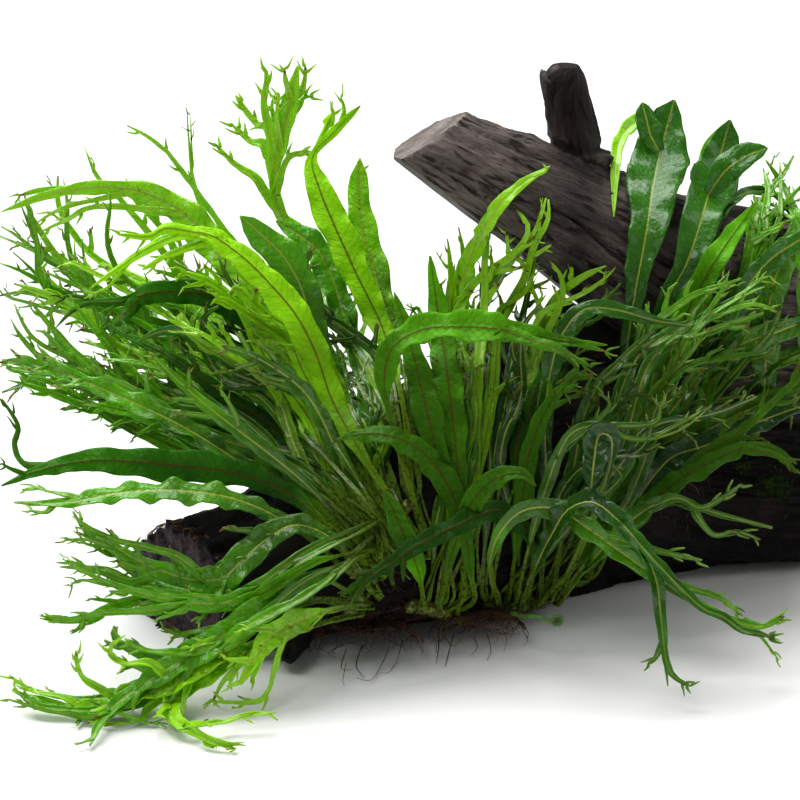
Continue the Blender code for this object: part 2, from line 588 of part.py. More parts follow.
def settle(fronds, tree):
    """Slides the fronds along the sight lines until none is in the wood, the floor or another frond."""
    clouds = [frond.across_points() for frond in fronds]
    points = np.concatenate([cloud for cloud, _ in clouds])
    frond_of = np.concatenate([np.full(len(cloud), i) for i, (cloud, _) in enumerate(clouds)])
    station_of = np.concatenate([owner + i * STATIONS for i, (_, owner) in enumerate(clouds)])
    limits = np.array([min(hit_depth(tree, across, up) - WOOD_CLEARANCE, floor_depth(up) - FLOOR_CLEARANCE)
                       for across, up, _ in points])

    finder = KDTree(len(points))
    for i, (across, up, _) in enumerate(points):
        finder.insert((across, up, 0), i)
    finder.balance()
    pairs = [(i, j) for i, (across, up, _) in enumerate(points)
             for _, j, _ in finder.find_range((across, up, 0), NEAR_POINTS) if frond_of[i] < frond_of[j]]
    first, second = np.array(pairs).T

    middles = np.concatenate([frond.line[:, 2] for frond in fronds])
    reach = np.full(len(middles), math.inf)
    np.minimum.at(reach, station_of, limits - points[:, 2] + middles[station_of])
    reach = reach.reshape(len(fronds), STATIONS)
    padded = np.pad(reach, ((0, 0), (2, 2)), mode="edge")
    reach = np.min([padded[:, k:k + STATIONS] for k in range(5)], axis=0).ravel()

    shift = np.zeros(len(fronds) * STATIONS)
    for i in range(len(fronds)):
        start = i * STATIONS
        if math.isfinite(reach[start]):
            drop = reach[start] - middles[start]
            shift[start:start + STATIONS] = drop * np.exp(-(np.arange(STATIONS) / BASE_BEND) ** 2)
    depths = points[:, 2]
    count = len(fronds)
    pair_of = frond_of[first] * count + frond_of[second]
    now = depths + shift[station_of]
    lead = np.zeros(count * count)
    np.add.at(lead, pair_of, np.clip(now[second] - now[first], -LEAD_LIMIT, LEAD_LIMIT))
    side = np.where(lead[pair_of] >= 0, 1.0, -1.0)
    kernel = np.exp(-(np.arange(-PUSH_REACH, PUSH_REACH + 1) / PUSH_SPREAD) ** 2)
    for _ in range(SETTLE_ROUNDS):
        now = depths + shift[station_of]
        short = np.clip(FROND_CLEARANCE - (now[second] - now[first]) * side, 0, None)
        away, back = np.zeros_like(shift), np.zeros_like(shift)
        for owners, push in ((station_of[first], -side * short), (station_of[second], side * short)):
            np.maximum.at(away, owners, push)
            np.maximum.at(back, owners, -push)
        move = (away - back) * SETTLE_STEP
        for i in range(count):
            part = slice(i * STATIONS, (i + 1) * STATIONS)
            padded = np.pad(move[part], PUSH_REACH, mode="edge")
            shift[part] += np.convolve(padded, kernel / kernel.sum(), mode="valid")
        over = np.clip(middles + shift - reach, 0, None)
        for i in range(count):
            part = slice(i * STATIONS, (i + 1) * STATIONS)
            padded = np.pad(over[part], PUSH_REACH, mode="edge")
            shift[part] -= np.max([padded[k:k + STATIONS] * kernel[k] for k in range(len(kernel))], axis=0)
    for i, frond in enumerate(fronds):
        frond.line[:, 2] += shift[i * STATIONS:(i + 1) * STATIONS]
    return fronds


def frond_mesh(name, frond):
    """A flat strip along the frond's middle line, as wide as the blade is."""
    picks = np.round(np.linspace(0, len(frond.line) - 1, FROND_STEPS + 1)).astype(int)

    def build(form):
        bmesh.ops.create_grid(form, x_segments=FROND_STEPS, y_segments=1, size=0.5)
        for vert in form.verts:
            i = picks[round((vert.co.x + 0.5) * FROND_STEPS)]
            offset = frond.side[i] * frond.half[i] * (1 if vert.co.y > 0 else -1)
            vert.co = view_to_world(*(frond.line[i] + offset))
    return mesh_from(name, build)


def make_fronds(build, tree):
    fronds = settle([Frond(name, i) for i, name in enumerate(FRONDS)], tree)
    for name, frond in zip(FRONDS, fronds):
        piece = build.piece(name, frond_mesh(name, frond), build.frond_material(name))
        wall = piece.modifiers.new("thickness", "SOLIDIFY")
        wall.thickness = FROND_THICKNESS * MM
        wall.offset = 0


def main():
    for leftover in list(bpy.data.objects):
        bpy.data.objects.remove(leftover, do_unlink=True)
    build = Build()
    wood, lower_swollen = make_wood(build)
    rhizomes, swollen = make_rhizomes(build, evaluated_tree(wood))
    above_floor = build.cutter("above_floor", box_mesh("above_floor", (-250, -200, -40), (300, 250, GAP)))
    mats = make_root_mats(build, [lower_swollen, above_floor, *swollen])
    make_fiddlehead(build)
    make_fronds(build, evaluated_tree(wood + rhizomes + mats))


main()
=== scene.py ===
"""Looks of a java fern with fork-tipped fronds that grows on a forked piece of driftwood.

Routes are laid out on a front view, as (across, down, depth): across and down are pixels of its
800 x 800 frame, and depth is the distance in millimetres behind the plane of its middle. Shapes are
worked out in that view in millimetres, and turned to metres where a mesh takes its place.
"""

import math
from functools import partial

import bmesh
import bpy
import numpy as np
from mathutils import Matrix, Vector, noise
from mathutils.bvhtree import BVHTree


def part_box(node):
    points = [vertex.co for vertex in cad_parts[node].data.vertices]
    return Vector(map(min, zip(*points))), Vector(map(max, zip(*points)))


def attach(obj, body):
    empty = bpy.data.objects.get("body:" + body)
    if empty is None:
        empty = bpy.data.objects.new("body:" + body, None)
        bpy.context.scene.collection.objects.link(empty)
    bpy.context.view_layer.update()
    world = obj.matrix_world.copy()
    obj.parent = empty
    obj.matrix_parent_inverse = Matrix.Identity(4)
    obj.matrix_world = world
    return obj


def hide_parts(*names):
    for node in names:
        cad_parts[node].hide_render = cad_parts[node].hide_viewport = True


bl_info = {
    "name": "Java fern on driftwood",
    "version": (1, 0, 0),
    "blender": (4, 5, 0),
    "location": "View3D > Sidebar > Fern",
    "description": "Makes a fork-tipped java fern that grows on wet driftwood",
    "category": "Add Mesh",
}

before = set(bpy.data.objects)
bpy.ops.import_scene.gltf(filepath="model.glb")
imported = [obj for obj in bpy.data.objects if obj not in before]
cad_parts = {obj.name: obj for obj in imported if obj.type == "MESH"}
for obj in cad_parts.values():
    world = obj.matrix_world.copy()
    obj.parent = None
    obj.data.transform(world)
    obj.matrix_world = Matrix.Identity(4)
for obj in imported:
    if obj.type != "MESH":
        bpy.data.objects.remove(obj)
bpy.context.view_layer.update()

MM = 0.001

# The front view: a long lens that looks 20 degrees down on the plant.
VIEW_WIDTH = 400.0
VIEW_PIXELS = 800
VIEW_DISTANCE = 1200.0
VIEW_TILT = math.radians(20)
FLOOR_LINE = 105.0          # how far below the middle of the view the origin shows
MM_PER_PIXEL = VIEW_WIDTH / VIEW_PIXELS
SENSOR_WIDTH = 36.0

FROND_LEAN = math.radians(10)
FROND_SWAY = math.radians(28)
STATIONS = 61               # points along a frond's middle line
CAD_STEPS = 12              # stretches of a frond's plain solid

WOOD_NODES = ["wood_lower_arm", "wood_stem", "wood_upper_arm", "wood_branch_stub", "wood_knot_root"]
RHIZOME_NODES = ["rhizome_left", "rhizome_front", "rhizome_side", "rhizome_right"]
ROOT_MAT_NODES = ["root_mat_left", "root_mat_right"]
TONES = ("bright", "green", "dark")

# Fronds with a solid of their own: width in millimetres, the share of the length at which the solid's
# blade begins, and the route.
FRONDS = {
    # tall ones, upper left
    "top_1": (9, 0.45, [
        (404, 492, -16), (398, 420, -4), (380, 330, 14), (342, 262, 26), (309, 241, 30), (281, 216, 30),
        (274, 180, 28), (284, 130, 24), (298, 66, 18)]),
    "top_2": (17, 0.42, [
        (412, 494, -14), (404, 410, -14), (384, 332, -14), (357, 275, -12), (329, 212, -6), (312, 160, 0),
        (332, 134, 2), (360, 106, 4)]),
    "top_3": (15, 0.45, [
        (420, 490, -10), (410, 410, 8), (392, 335, 24), (374, 272, 36), (360, 212, 42), (360, 158, 44)]),
    "top_5": (16, 0.36, [
        (420, 540, -44), (372, 470, -52), (332, 400, -58), (308, 335, -62), (270, 285, -64),
        (228, 247, -66), (188, 232, -68), (138, 256, -72), (90, 289, -76)]),
    "top_6": (17, 0.42, [
        (392, 505, -22), (330, 400, -8), (262, 300, 6), (200, 230, 12), (160, 198, 14), (112, 188, 12),
        (60, 192, 8), (2, 212, 4)]),
    "top_7": (14, 0.42, [
        (388, 512, -26), (318, 420, -20), (262, 330, -18), (205, 296, -20), (160, 292, -22),
        (118, 302, -26), (80, 306, -30), (54, 330, -34)]),
    # left, finely cut
    "left_1": (7, 0.4, [
        (380, 545, -48), (300, 480, -44), (210, 425, -42), (130, 392, -44), (75, 352, -46),
        (30, 300, -46)]),
    "left_2": (7, 0.4, [
        (372, 538, -42), (290, 455, -30), (190, 385, -24), (120, 350, -22), (70, 305, -22),
        (14, 284, -22)]),
    "left_3": (7, 0.4, [
        (380, 525, -34), (300, 425, -8), (210, 352, 4), (130, 312, 10), (66, 268, 14), (24, 202, 16)]),
    "left_5": (7, 0.4, [
        (372, 552, -50), (290, 500, -30), (200, 430, -8), (120, 395, 4), (50, 380, 12), (2, 392, 16)]),
    "left_6": (11, 0.45, [
        (364, 556, -54), (280, 490, -62), (190, 430, -66), (110, 392, -66), (50, 368, -64),
        (2, 360, -62)]),
    "left_7": (9, 0.45, [
        (384, 520, -30), (300, 430, -40), (230, 360, -44), (180, 330, -46), (136, 342, -50)]),
    # two long wavy ones, left
    "wavy_1": (16, 0.35, [
        (360, 560, -58), (300, 500, -72), (240, 474, -76), (180, 466, -78), (125, 461, -80),
        (80, 462, -82), (36, 472, -84), (2, 486, -84)]),
    "wavy_2": (13, 0.35, [
        (352, 575, -64), (300, 530, -80), (240, 500, -88), (180, 490, -92), (120, 492, -94),
        (66, 502, -96), (14, 502, -96)]),
    # drooping, lower left
    "low_1": (15, 0.3, [
        (372, 590, -60), (340, 545, -78), (298, 524, -88), (258, 545, -94), (215, 580, -98),
        (150, 566, -102), (84, 526, -104)]),
    "low_2": (8, 0.3, [
        (364, 600, -62), (320, 580, -84), (262, 590, -98), (210, 604, -106), (130, 590, -110),
        (64, 562, -112)]),
    "low_3": (16, 0.5, [
        (356, 606, -64), (312, 600, -84), (262, 622, -98), (210, 656, -108), (152, 688, -112),
        (80, 708, -110), (12, 690, -104)]),
    "low_4": (12, 0.5, [
        (366, 612, -62), (322, 622, -84), (270, 640, -98), (215, 668, -106), (168, 704, -114),
        (206, 738, -128), (246, 745, -134)]),
    "low_5": (14, 0.7, [
        (374, 606, -60), (340, 608, -84), (300, 620, -98), (268, 640, -108), (240, 684, -114)]),
    "low_6": (16, 0.35, [
        (382, 600, -58), (352, 570, -78), (318, 575, -90), (280, 596, -98), (240, 625, -104),
        (120, 700, -112), (90, 745, -130)]),
    # centre
    "centre_1": (17, 0.7, [
        (430, 560, -60), (402, 460, -72), (384, 380, -78), (402, 338, -80), (450, 328, -82),
        (508, 331, -84), (562, 341, -86), (607, 345, -88)]),
    "centre_2": (14, 0.4, [
        (463, 600, -42), (463, 520, -50), (455, 440, -52), (446, 365, -50), (436, 300, -46),
        (430, 256, -44)]),
    "centre_3": (14, 0.35, [
        (446, 600, -46), (448, 520, -60), (436, 450, -64), (424, 400, -64), (412, 350, -62),
        (394, 292, -58)]),
    "centre_4": (11, 0.42, [
        (470, 590, -38), (466, 480, -36), (452, 380, -30), (460, 290, -26), (484, 228, -22),
        (514, 190, -20), (550, 166, -20)]),
    "centre_9": (8, 0.45, [
        (492, 584, -30), (512, 480, -30), (528, 380, -26), (548, 310, -22), (584, 276, -20),
        (606, 266, -20)]),
    "centre_10": (10, 0.4, [
        (508, 600, -30), (520, 520, -50), (530, 450, -62), (552, 400, -68), (586, 370, -70)]),
    "centre_12": (14, 0.35, [
        (474, 600, -42), (464, 530, -62), (444, 480, -72), (412, 445, -78), (372, 434, -80),
        (336, 440, -80)]),
    "centre_14": (11, 0.3, [
        (526, 598, -26), (532, 545, -52), (502, 511, -72), (456, 526, -84), (415, 546, -92),
        (380, 570, -96), (340, 596, -98)]),
    "centre_15": (13, 0.35, [(424, 604, -52), (418, 570, -72), (404, 535, -86), (384, 490, -92)]),
    # filling the left middle
    "middle_3": (7, 0.4, [
        (428, 540, -40), (396, 430, -30), (358, 346, -10), (333, 314, 14), (308, 280, 42),
        (300, 240, 48)]),
    "middle_6": (18, 0.4, [
        (404, 516, -26), (356, 420, -30), (318, 335, -34), (290, 265, -38), (240, 216, -40)]),
    "middle_7": (8, 0.45, [
        (396, 540, -46), (352, 470, -48), (302, 388, -44), (272, 340, -40), (262, 300, -38)]),
    "middle_11": (13, 0.35, [
        (368, 570, -60), (310, 500, -58), (240, 456, -54), (172, 425, -52), (130, 412, -52),
        (92, 404, -52)]),
    # right
    "right_1": (28, 0.42, [
        (604, 470, -12), (620, 400, -14), (632, 310, -10), (646, 233, -6), (656, 170, 0), (674, 100, 4)]),
    "right_2": (24, 0.4, [
        (616, 468, -10), (640, 390, -2), (662, 310, 8), (687, 262, 12), (706, 203, 16), (730, 120, 18)]),
    "right_3": (15, 0.45, [
        (556, 592, -8), (612, 500, -22), (652, 400, -26), (690, 306, -24), (718, 256, -20),
        (758, 200, -14)]),
    "right_4": (8, 0.4, [
        (628, 466, -6), (676, 350, 16), (706, 240, 24), (732, 200, 24), (762, 190, 24), (782, 200, 22),
        (792, 218, 20)]),
    "right_5": (16, 0.4, [
        (752, 440, 22), (764, 392, 18), (766, 330, 12), (774, 280, 10), (796, 238, 10), (816, 190, 12)]),
    "right_6": (12, 0.4, [
        (668, 462, 2), (712, 390, -4), (742, 300, -8), (768, 262, -8), (800, 240, -6), (836, 222, -4)]),
    "right_8": (9, 0.4, [
        (566, 588, -4), (628, 500, -36), (664, 400, -50), (690, 336, -54), (724, 306, -54),
        (764, 286, -54)]),
    "right_9": (10, 0.4, [
        (540, 600, -20), (546, 500, -52), (546, 400, -66), (564, 330, -70), (598, 304, -70),
        (632, 316, -70), (688, 326, -70)]),
    "right_11": (10, 0.35, [
        (592, 578, 0), (640, 500, -10), (690, 440, -8), (760, 402, 2), (820, 378, 4), (862, 360, 8)]),
    "right_12": (13, 0.35, [
        (582, 584, -2), (624, 520, -30), (668, 460, -32), (714, 443, -28), (762, 420, -20),
        (830, 396, -8)]),
    "right_13": (12, 0.35, [
        (536, 606, -22), (590, 552, -40), (636, 516, -46), (684, 477, -46), (748, 446, -40),
        (776, 450, -36), (796, 464, -34)]),
    "right_15": (14, 0.35, [
        (680, 460, 4), (706, 400, -12), (730, 352, -18), (772, 334, -18), (826, 314, -16)]),
    "right_18": (11, 0.3, [
        (500, 608, -34), (490, 560, -64), (510, 520, -80), (546, 506, -88), (590, 530, -92),
        (640, 566, -94), (700, 604, -94), (780, 640, -92)]),
    "right_19": (12, 0.3, [
        (520, 608, -26), (548, 540, -76), (580, 500, -100), (618, 520, -106), (652, 566, -106),
        (662, 630, -104), (668, 686, -104)]),
    "right_20": (9, 0.3, [
        (556, 604, -6), (620, 530, -56), (668, 500, -64), (710, 512, -66), (772, 528, -66)]),
}

# Fronds lighter or darker than most: partly young or old fronds, partly painted light on fronds with light
# behind them and painted shade on fronds that lie in shade.
BRIGHT_FRONDS = [
    "top_1", "top_2", "top_3", "top_4", "top_5", "top_6", "low_3", "low_4", "low_5", "left_2", "left_3",
    "left_4", "centre_4", "right_21", "right_22", "centre_9", "middle_3", "centre_5", "centre_6"]

DARK_FRONDS = [
    "top_7", "wavy_1", "left_5", "left_7", "centre_14", "right_2", "right_4", "right_6", "right_9",
    "right_12", "right_19", "right_23", "centre_7", "centre_8", "centre_11", "right_1"]

# Fronds too small for a solid of their own, in the same form.
SMALL_FRONDS = {
    "top_4": (6, 0.45, [
        (398, 500, -20), (350, 400, 6), (290, 315, 30), (230, 245, 44), (199, 204, 48), (190, 150, 48),
        (187, 102, 46)]),
    "left_4": (6, 0.4, [
        (396, 512, -24), (330, 420, 0), (250, 340, 20), (160, 290, 32), (100, 262, 38), (62, 215, 40),
        (58, 176, 40)]),
    "centre_5": (5, 0.45, [
        (476, 588, -36), (478, 480, -24), (470, 380, -10), (484, 300, -4), (514, 258, -2), (538, 226, -2),
        (546, 198, -2)]),
    "centre_6": (6, 0.45, [
        (454, 600, -44), (444, 500, -42), (438, 400, -36), (446, 320, -30), (452, 262, -28)]),
    "centre_7": (5, 0.45, [
        (480, 586, -34), (490, 480, -14), (486, 380, 4), (482, 300, 10), (485, 240, 12)]),
    "centre_8": (5, 0.45, [(486, 584, -32), (500, 480, -20), (508, 380, -6), (524, 310, 0), (536, 256, 2)]),
    "centre_11": (9, 0.4, [
        (482, 592, -36), (488, 500, -38), (500, 425, -36), (520, 358, -34), (536, 330, -32)]),
    "centre_13": (11, 0.35, [
        (440, 606, -50), (450, 560, -66), (470, 506, -78), (496, 479, -84), (521, 474, -86),
        (536, 486, -88)]),
    "right_7": (6, 0.5, [(790, 430, 30), (800, 340, 30), (800, 250, 32), (790, 200, 34), (766, 160, 34)]),
    "right_10": (8, 0.4, [
        (552, 598, -16), (568, 500, -44), (588, 404, -54), (620, 362, -56), (654, 331, -56)]),
    "right_14": (7, 0.4, [
        (516, 602, -28), (536, 520, -66), (566, 440, -82), (600, 426, -86), (636, 440, -88),
        (680, 430, -88), (712, 404, -88)]),
    "right_21": (8, 0.4, [
        (612, 470, 4), (622, 380, 10), (640, 250, 14), (650, 150, 16), (634, 114, 16), (617, 152, 14),
        (614, 216, 12)]),
    "right_22": (9, 0.4, [
        (630, 470, 12), (660, 380, 16), (680, 280, 20), (700, 180, 22), (712, 130, 22), (724, 124, 22)]),
    "right_23": (15, 1.15, [
        (556, 598, -14), (588, 530, -62), (612, 456, -92), (604, 427, -98), (596, 446, -102),
        (591, 488, -104)]),
    "right_16": (9, 0.35, [(692, 458, 8), (724, 412, 2), (756, 374, 0), (800, 350, 2), (846, 334, 4)]),
    "middle_5": (5, 0.45, [(432, 536, -36), (398, 420, -18), (350, 345, 2), (328, 300, 8), (333, 262, 8)]),
    "middle_8": (9, 0.4, [
        (380, 560, -54), (352, 490, -64), (312, 402, -70), (264, 362, -74), (222, 346, -76)]),
    "middle_9": (8, 0.4, [
        (376, 568, -58), (312, 490, -76), (215, 412, -84), (178, 380, -86), (150, 352, -86)]),
    "top_8": (15, 0.45, [
        (400, 500, -20), (374, 420, -10), (348, 330, 0), (326, 262, 8), (300, 236, 10), (276, 221, 10)]),
}

# Fronds that end in a point or in a few broad lobes; the rest part like antlers.
WHOLE_FRONDS = [
    "right_1", "right_2", "right_3", "right_4", "right_5", "right_6", "centre_2", "centre_3", "centre_12",
    "centre_13", "centre_15", "right_12", "middle_6", "left_7", "right_15", "top_3", "centre_4", "right_9",
    "right_21", "right_22", "right_23", "top_8"]
# Fronds that turn their underside, with its brown midrib, to the front.
TURNED_FRONDS = [
    "top_2", "top_5", "top_7", "centre_1", "centre_2", "centre_3", "centre_12", "centre_13", "centre_14",
    "right_3", "right_13", "middle_11", "centre_10", "right_11", "centre_15", "wavy_1"]

# Tines that leave a frond's middle line: where (share of its length), width in millimetres, and the
# rest of the route as (across, down, depth beside the frond's own).
STRANDS = {
    "top_1": [
        (0.72, 3.4, [(255, 178, -2), (241, 169, -3), (229, 160, -4), (215, 144, -5)]),
        (0.77, 3.0, [(286, 161, -2), (299, 153, -3), (312, 151, -3)]),
        (0.785, 4.0, [(265, 147, 4), (251, 141, 6), (241, 133, 7), (233, 125, 7)]),
        (0.81, 3.6, [(268, 130, 3), (258, 124, 4), (246, 111, 5), (236, 95, 5)]),
        (0.82, 3.8, [(268, 124, -2), (264, 102, -3), (267, 80, -3), (265, 67, -3)]),
        (0.83, 2.2, [(274, 122, 4), (272, 106, 5), (276, 93, 5)]),
        (0.84, 2.2, [(277, 120, -4), (278, 104, -5), (279, 92, -5)]),
        (0.89, 2.8, [(299, 106, 3), (304, 98, 4), (311, 97, 4)]),
        (0.92, 2.6, [(301, 92, 3), (305, 80, 4), (306, 67, 4)]),
        (0.93, 2.2, [(289, 92, -3), (286, 80, -4), (285, 69, -4)]),
    ],
    "top_2": [
        (0.87, 5.6, [(317, 147, 3), (322, 137, 4), (328, 125, 4), (334, 113, 4)]),
        (0.94, 2.2, [(344, 110, 2), (341, 98, 2)]),
    ],
    "top_3": [(0.93, 1.8, [(362, 172, 2), (370, 165, 2)])],
    "top_4": [
        (0.66, 3.0, [(178, 166, -2), (158, 145, -3), (146, 136, -4), (127, 126, -4)]),
        (0.86, 1.4, [(192, 122, 2), (191, 108, 2)]),
    ],
    "top_5": [
        (0.72, 4.4, [(172, 228, -4), (150, 236, -6), (119, 234, -8)]),
        (0.73, 4.0, [(171, 254, -5), (156, 262, -8), (143, 270, -9)]),
        (0.9, 1.6, [(110, 286, 3), (92, 294, 4)]),
    ],
    "top_6": [
        (0.7, 3.0, [(100, 206, -4), (66, 220, -6), (40, 232, -7)]),
        (0.78, 2.4, [(70, 206, -3), (48, 216, -4), (36, 224, -4)]),
        (0.88, 2.4, [(44, 190, 3), (20, 196, 4)]),
    ],
    "top_7": [
        (0.8, 6.0, [(124, 316, -6), (112, 328, -10)]),
        (0.88, 2.4, [(76, 296, 3), (62, 298, 4)]),
    ],
    "wavy_1": [
        (0.86, 3.0, [(24, 462, 4), (15, 444, 8), (18, 424, 10), (2, 398, 12)]),
        (0.92, 2.0, [(14, 470, -3), (2, 464, -4)]),
    ],
    "wavy_2": [
        (0.8, 2.4, [(52, 492, 3), (36, 488, 4), (22, 490, 4)]),
        (0.88, 2.2, [(46, 512, -2), (30, 510, -3)]),
    ],
    "low_1": [
        (0.62, 3.4, [(176, 556, -4), (140, 546, -6), (104, 536, -8), (72, 516, -8)]),
        (0.74, 2.8, [(130, 582, -3), (100, 572, -5), (66, 560, -6)]),
        (0.86, 1.8, [(90, 540, 2), (64, 540, 2)]),
    ],
    "low_2": [
        (0.58, 3.2, [(150, 610, -3), (106, 612, -5), (62, 619, -6), (44, 612, -6)]),
        (0.82, 1.8, [(82, 580, 2), (70, 586, 2)]),
    ],
    "low_3": [
        (0.58, 3.2, [(150, 664, -6), (124, 664, -10), (111, 656, -12), (114, 642, -14)]),
        (0.72, 2.8, [(110, 694, -4), (88, 684, -6), (79, 670, -8), (77, 654, -9)]),
        (0.8, 2.4, [(60, 698, 3), (32, 692, 4), (10, 677, 5)]),
    ],
    "low_4": [
        (0.62, 2.8, [(150, 706, -3), (140, 728, -6), (118, 742, -8), (91, 746, -8)]),
        (0.8, 2.6, [(226, 722, 3), (244, 716, 4), (277, 713, 5)]),
        (0.92, 1.8, [(236, 750, 0), (232, 752, 0)]),
    ],
    "low_5": [
        (0.62, 3.0, [(276, 668, -4), (270, 690, -6), (256, 702, -6), (216, 702, -6)]),
        (0.8, 2.2, [(228, 676, 3), (214, 700, 4)]),
    ],
    "low_6": [
        (0.52, 3.0, [(200, 650, -4), (150, 652, -6), (118, 640, -8)]),
        (0.72, 2.4, [(110, 712, -3), (60, 714, -4), (6, 700, -4)]),
        (0.86, 2.0, [(150, 726, 3), (168, 738, 4)]),
    ],
    "centre_1": [
        (0.77, 4.6, [(556, 352, -4), (576, 362, -6), (592, 370, -7)]),
        (0.84, 3.0, [(576, 366, 0), (566, 380, -3), (566, 398, -4)]),
        (0.92, 2.0, [(598, 350, 2), (606, 352, 2)]),
    ],
    "centre_4": [(0.95, 1.8, [(546, 170, 1), (543, 164, 1)])],
    "right_1": [(0.86, 13.0, [(651, 136, 1), (646, 118, 1), (642, 103, 1)])],
    "right_2": [(0.76, 14.0, [(726, 170, 1), (744, 158, 1), (764, 153, 2)])],
    "right_3": [(0.93, 2.0, [(752, 206, 1), (750, 200, 1)])],
    "right_18": [
        (0.52, 3.2, [(648, 548, -6), (680, 556, -8), (702, 560, -8)]),
        (0.7, 3.0, [(696, 590, 4), (724, 600, 6), (742, 616, 6)]),
        (0.86, 3.6, [(760, 626, 3), (784, 616, 4)]),
        (0.93, 1.6, [(772, 650, 2), (779, 660, 2)]),
    ],
    "right_19": [
        (0.6, 3.6, [(690, 598, -3), (722, 616, -4), (744, 632, -5), (773, 640, -5)]),
        (0.88, 2.2, [(656, 656, 2), (648, 664, 3)]),
        (0.9, 2.4, [(670, 672, -2), (690, 686, -3)]),
    ],
    "right_20": [
        (0.55, 3.0, [(676, 498, -4), (700, 508, -6), (720, 500, -6), (742, 484, -6)]),
        (0.72, 2.6, [(712, 534, 3), (738, 532, 4), (760, 540, 4)]),
    ],
    "right_13": [(0.8, 3.6, [(770, 452, -2), (788, 462, -3), (795, 472, -3)])],
    "right_14": [
        (0.52, 2.6, [(608, 410, 2), (598, 394, 3)]),
        (0.66, 2.6, [(652, 424, 2), (660, 406, 3)]),
        (0.8, 2.2, [(690, 418, 2), (700, 410, 3)]),
    ],
    "right_8": [
        (0.72, 3.0, [(716, 300, 2), (730, 282, 3)]),
        (0.82, 2.4, [(752, 304, -2), (776, 312, -3)]),
        (0.9, 2.0, [(758, 280, 2), (770, 276, 2)]),
    ],
}

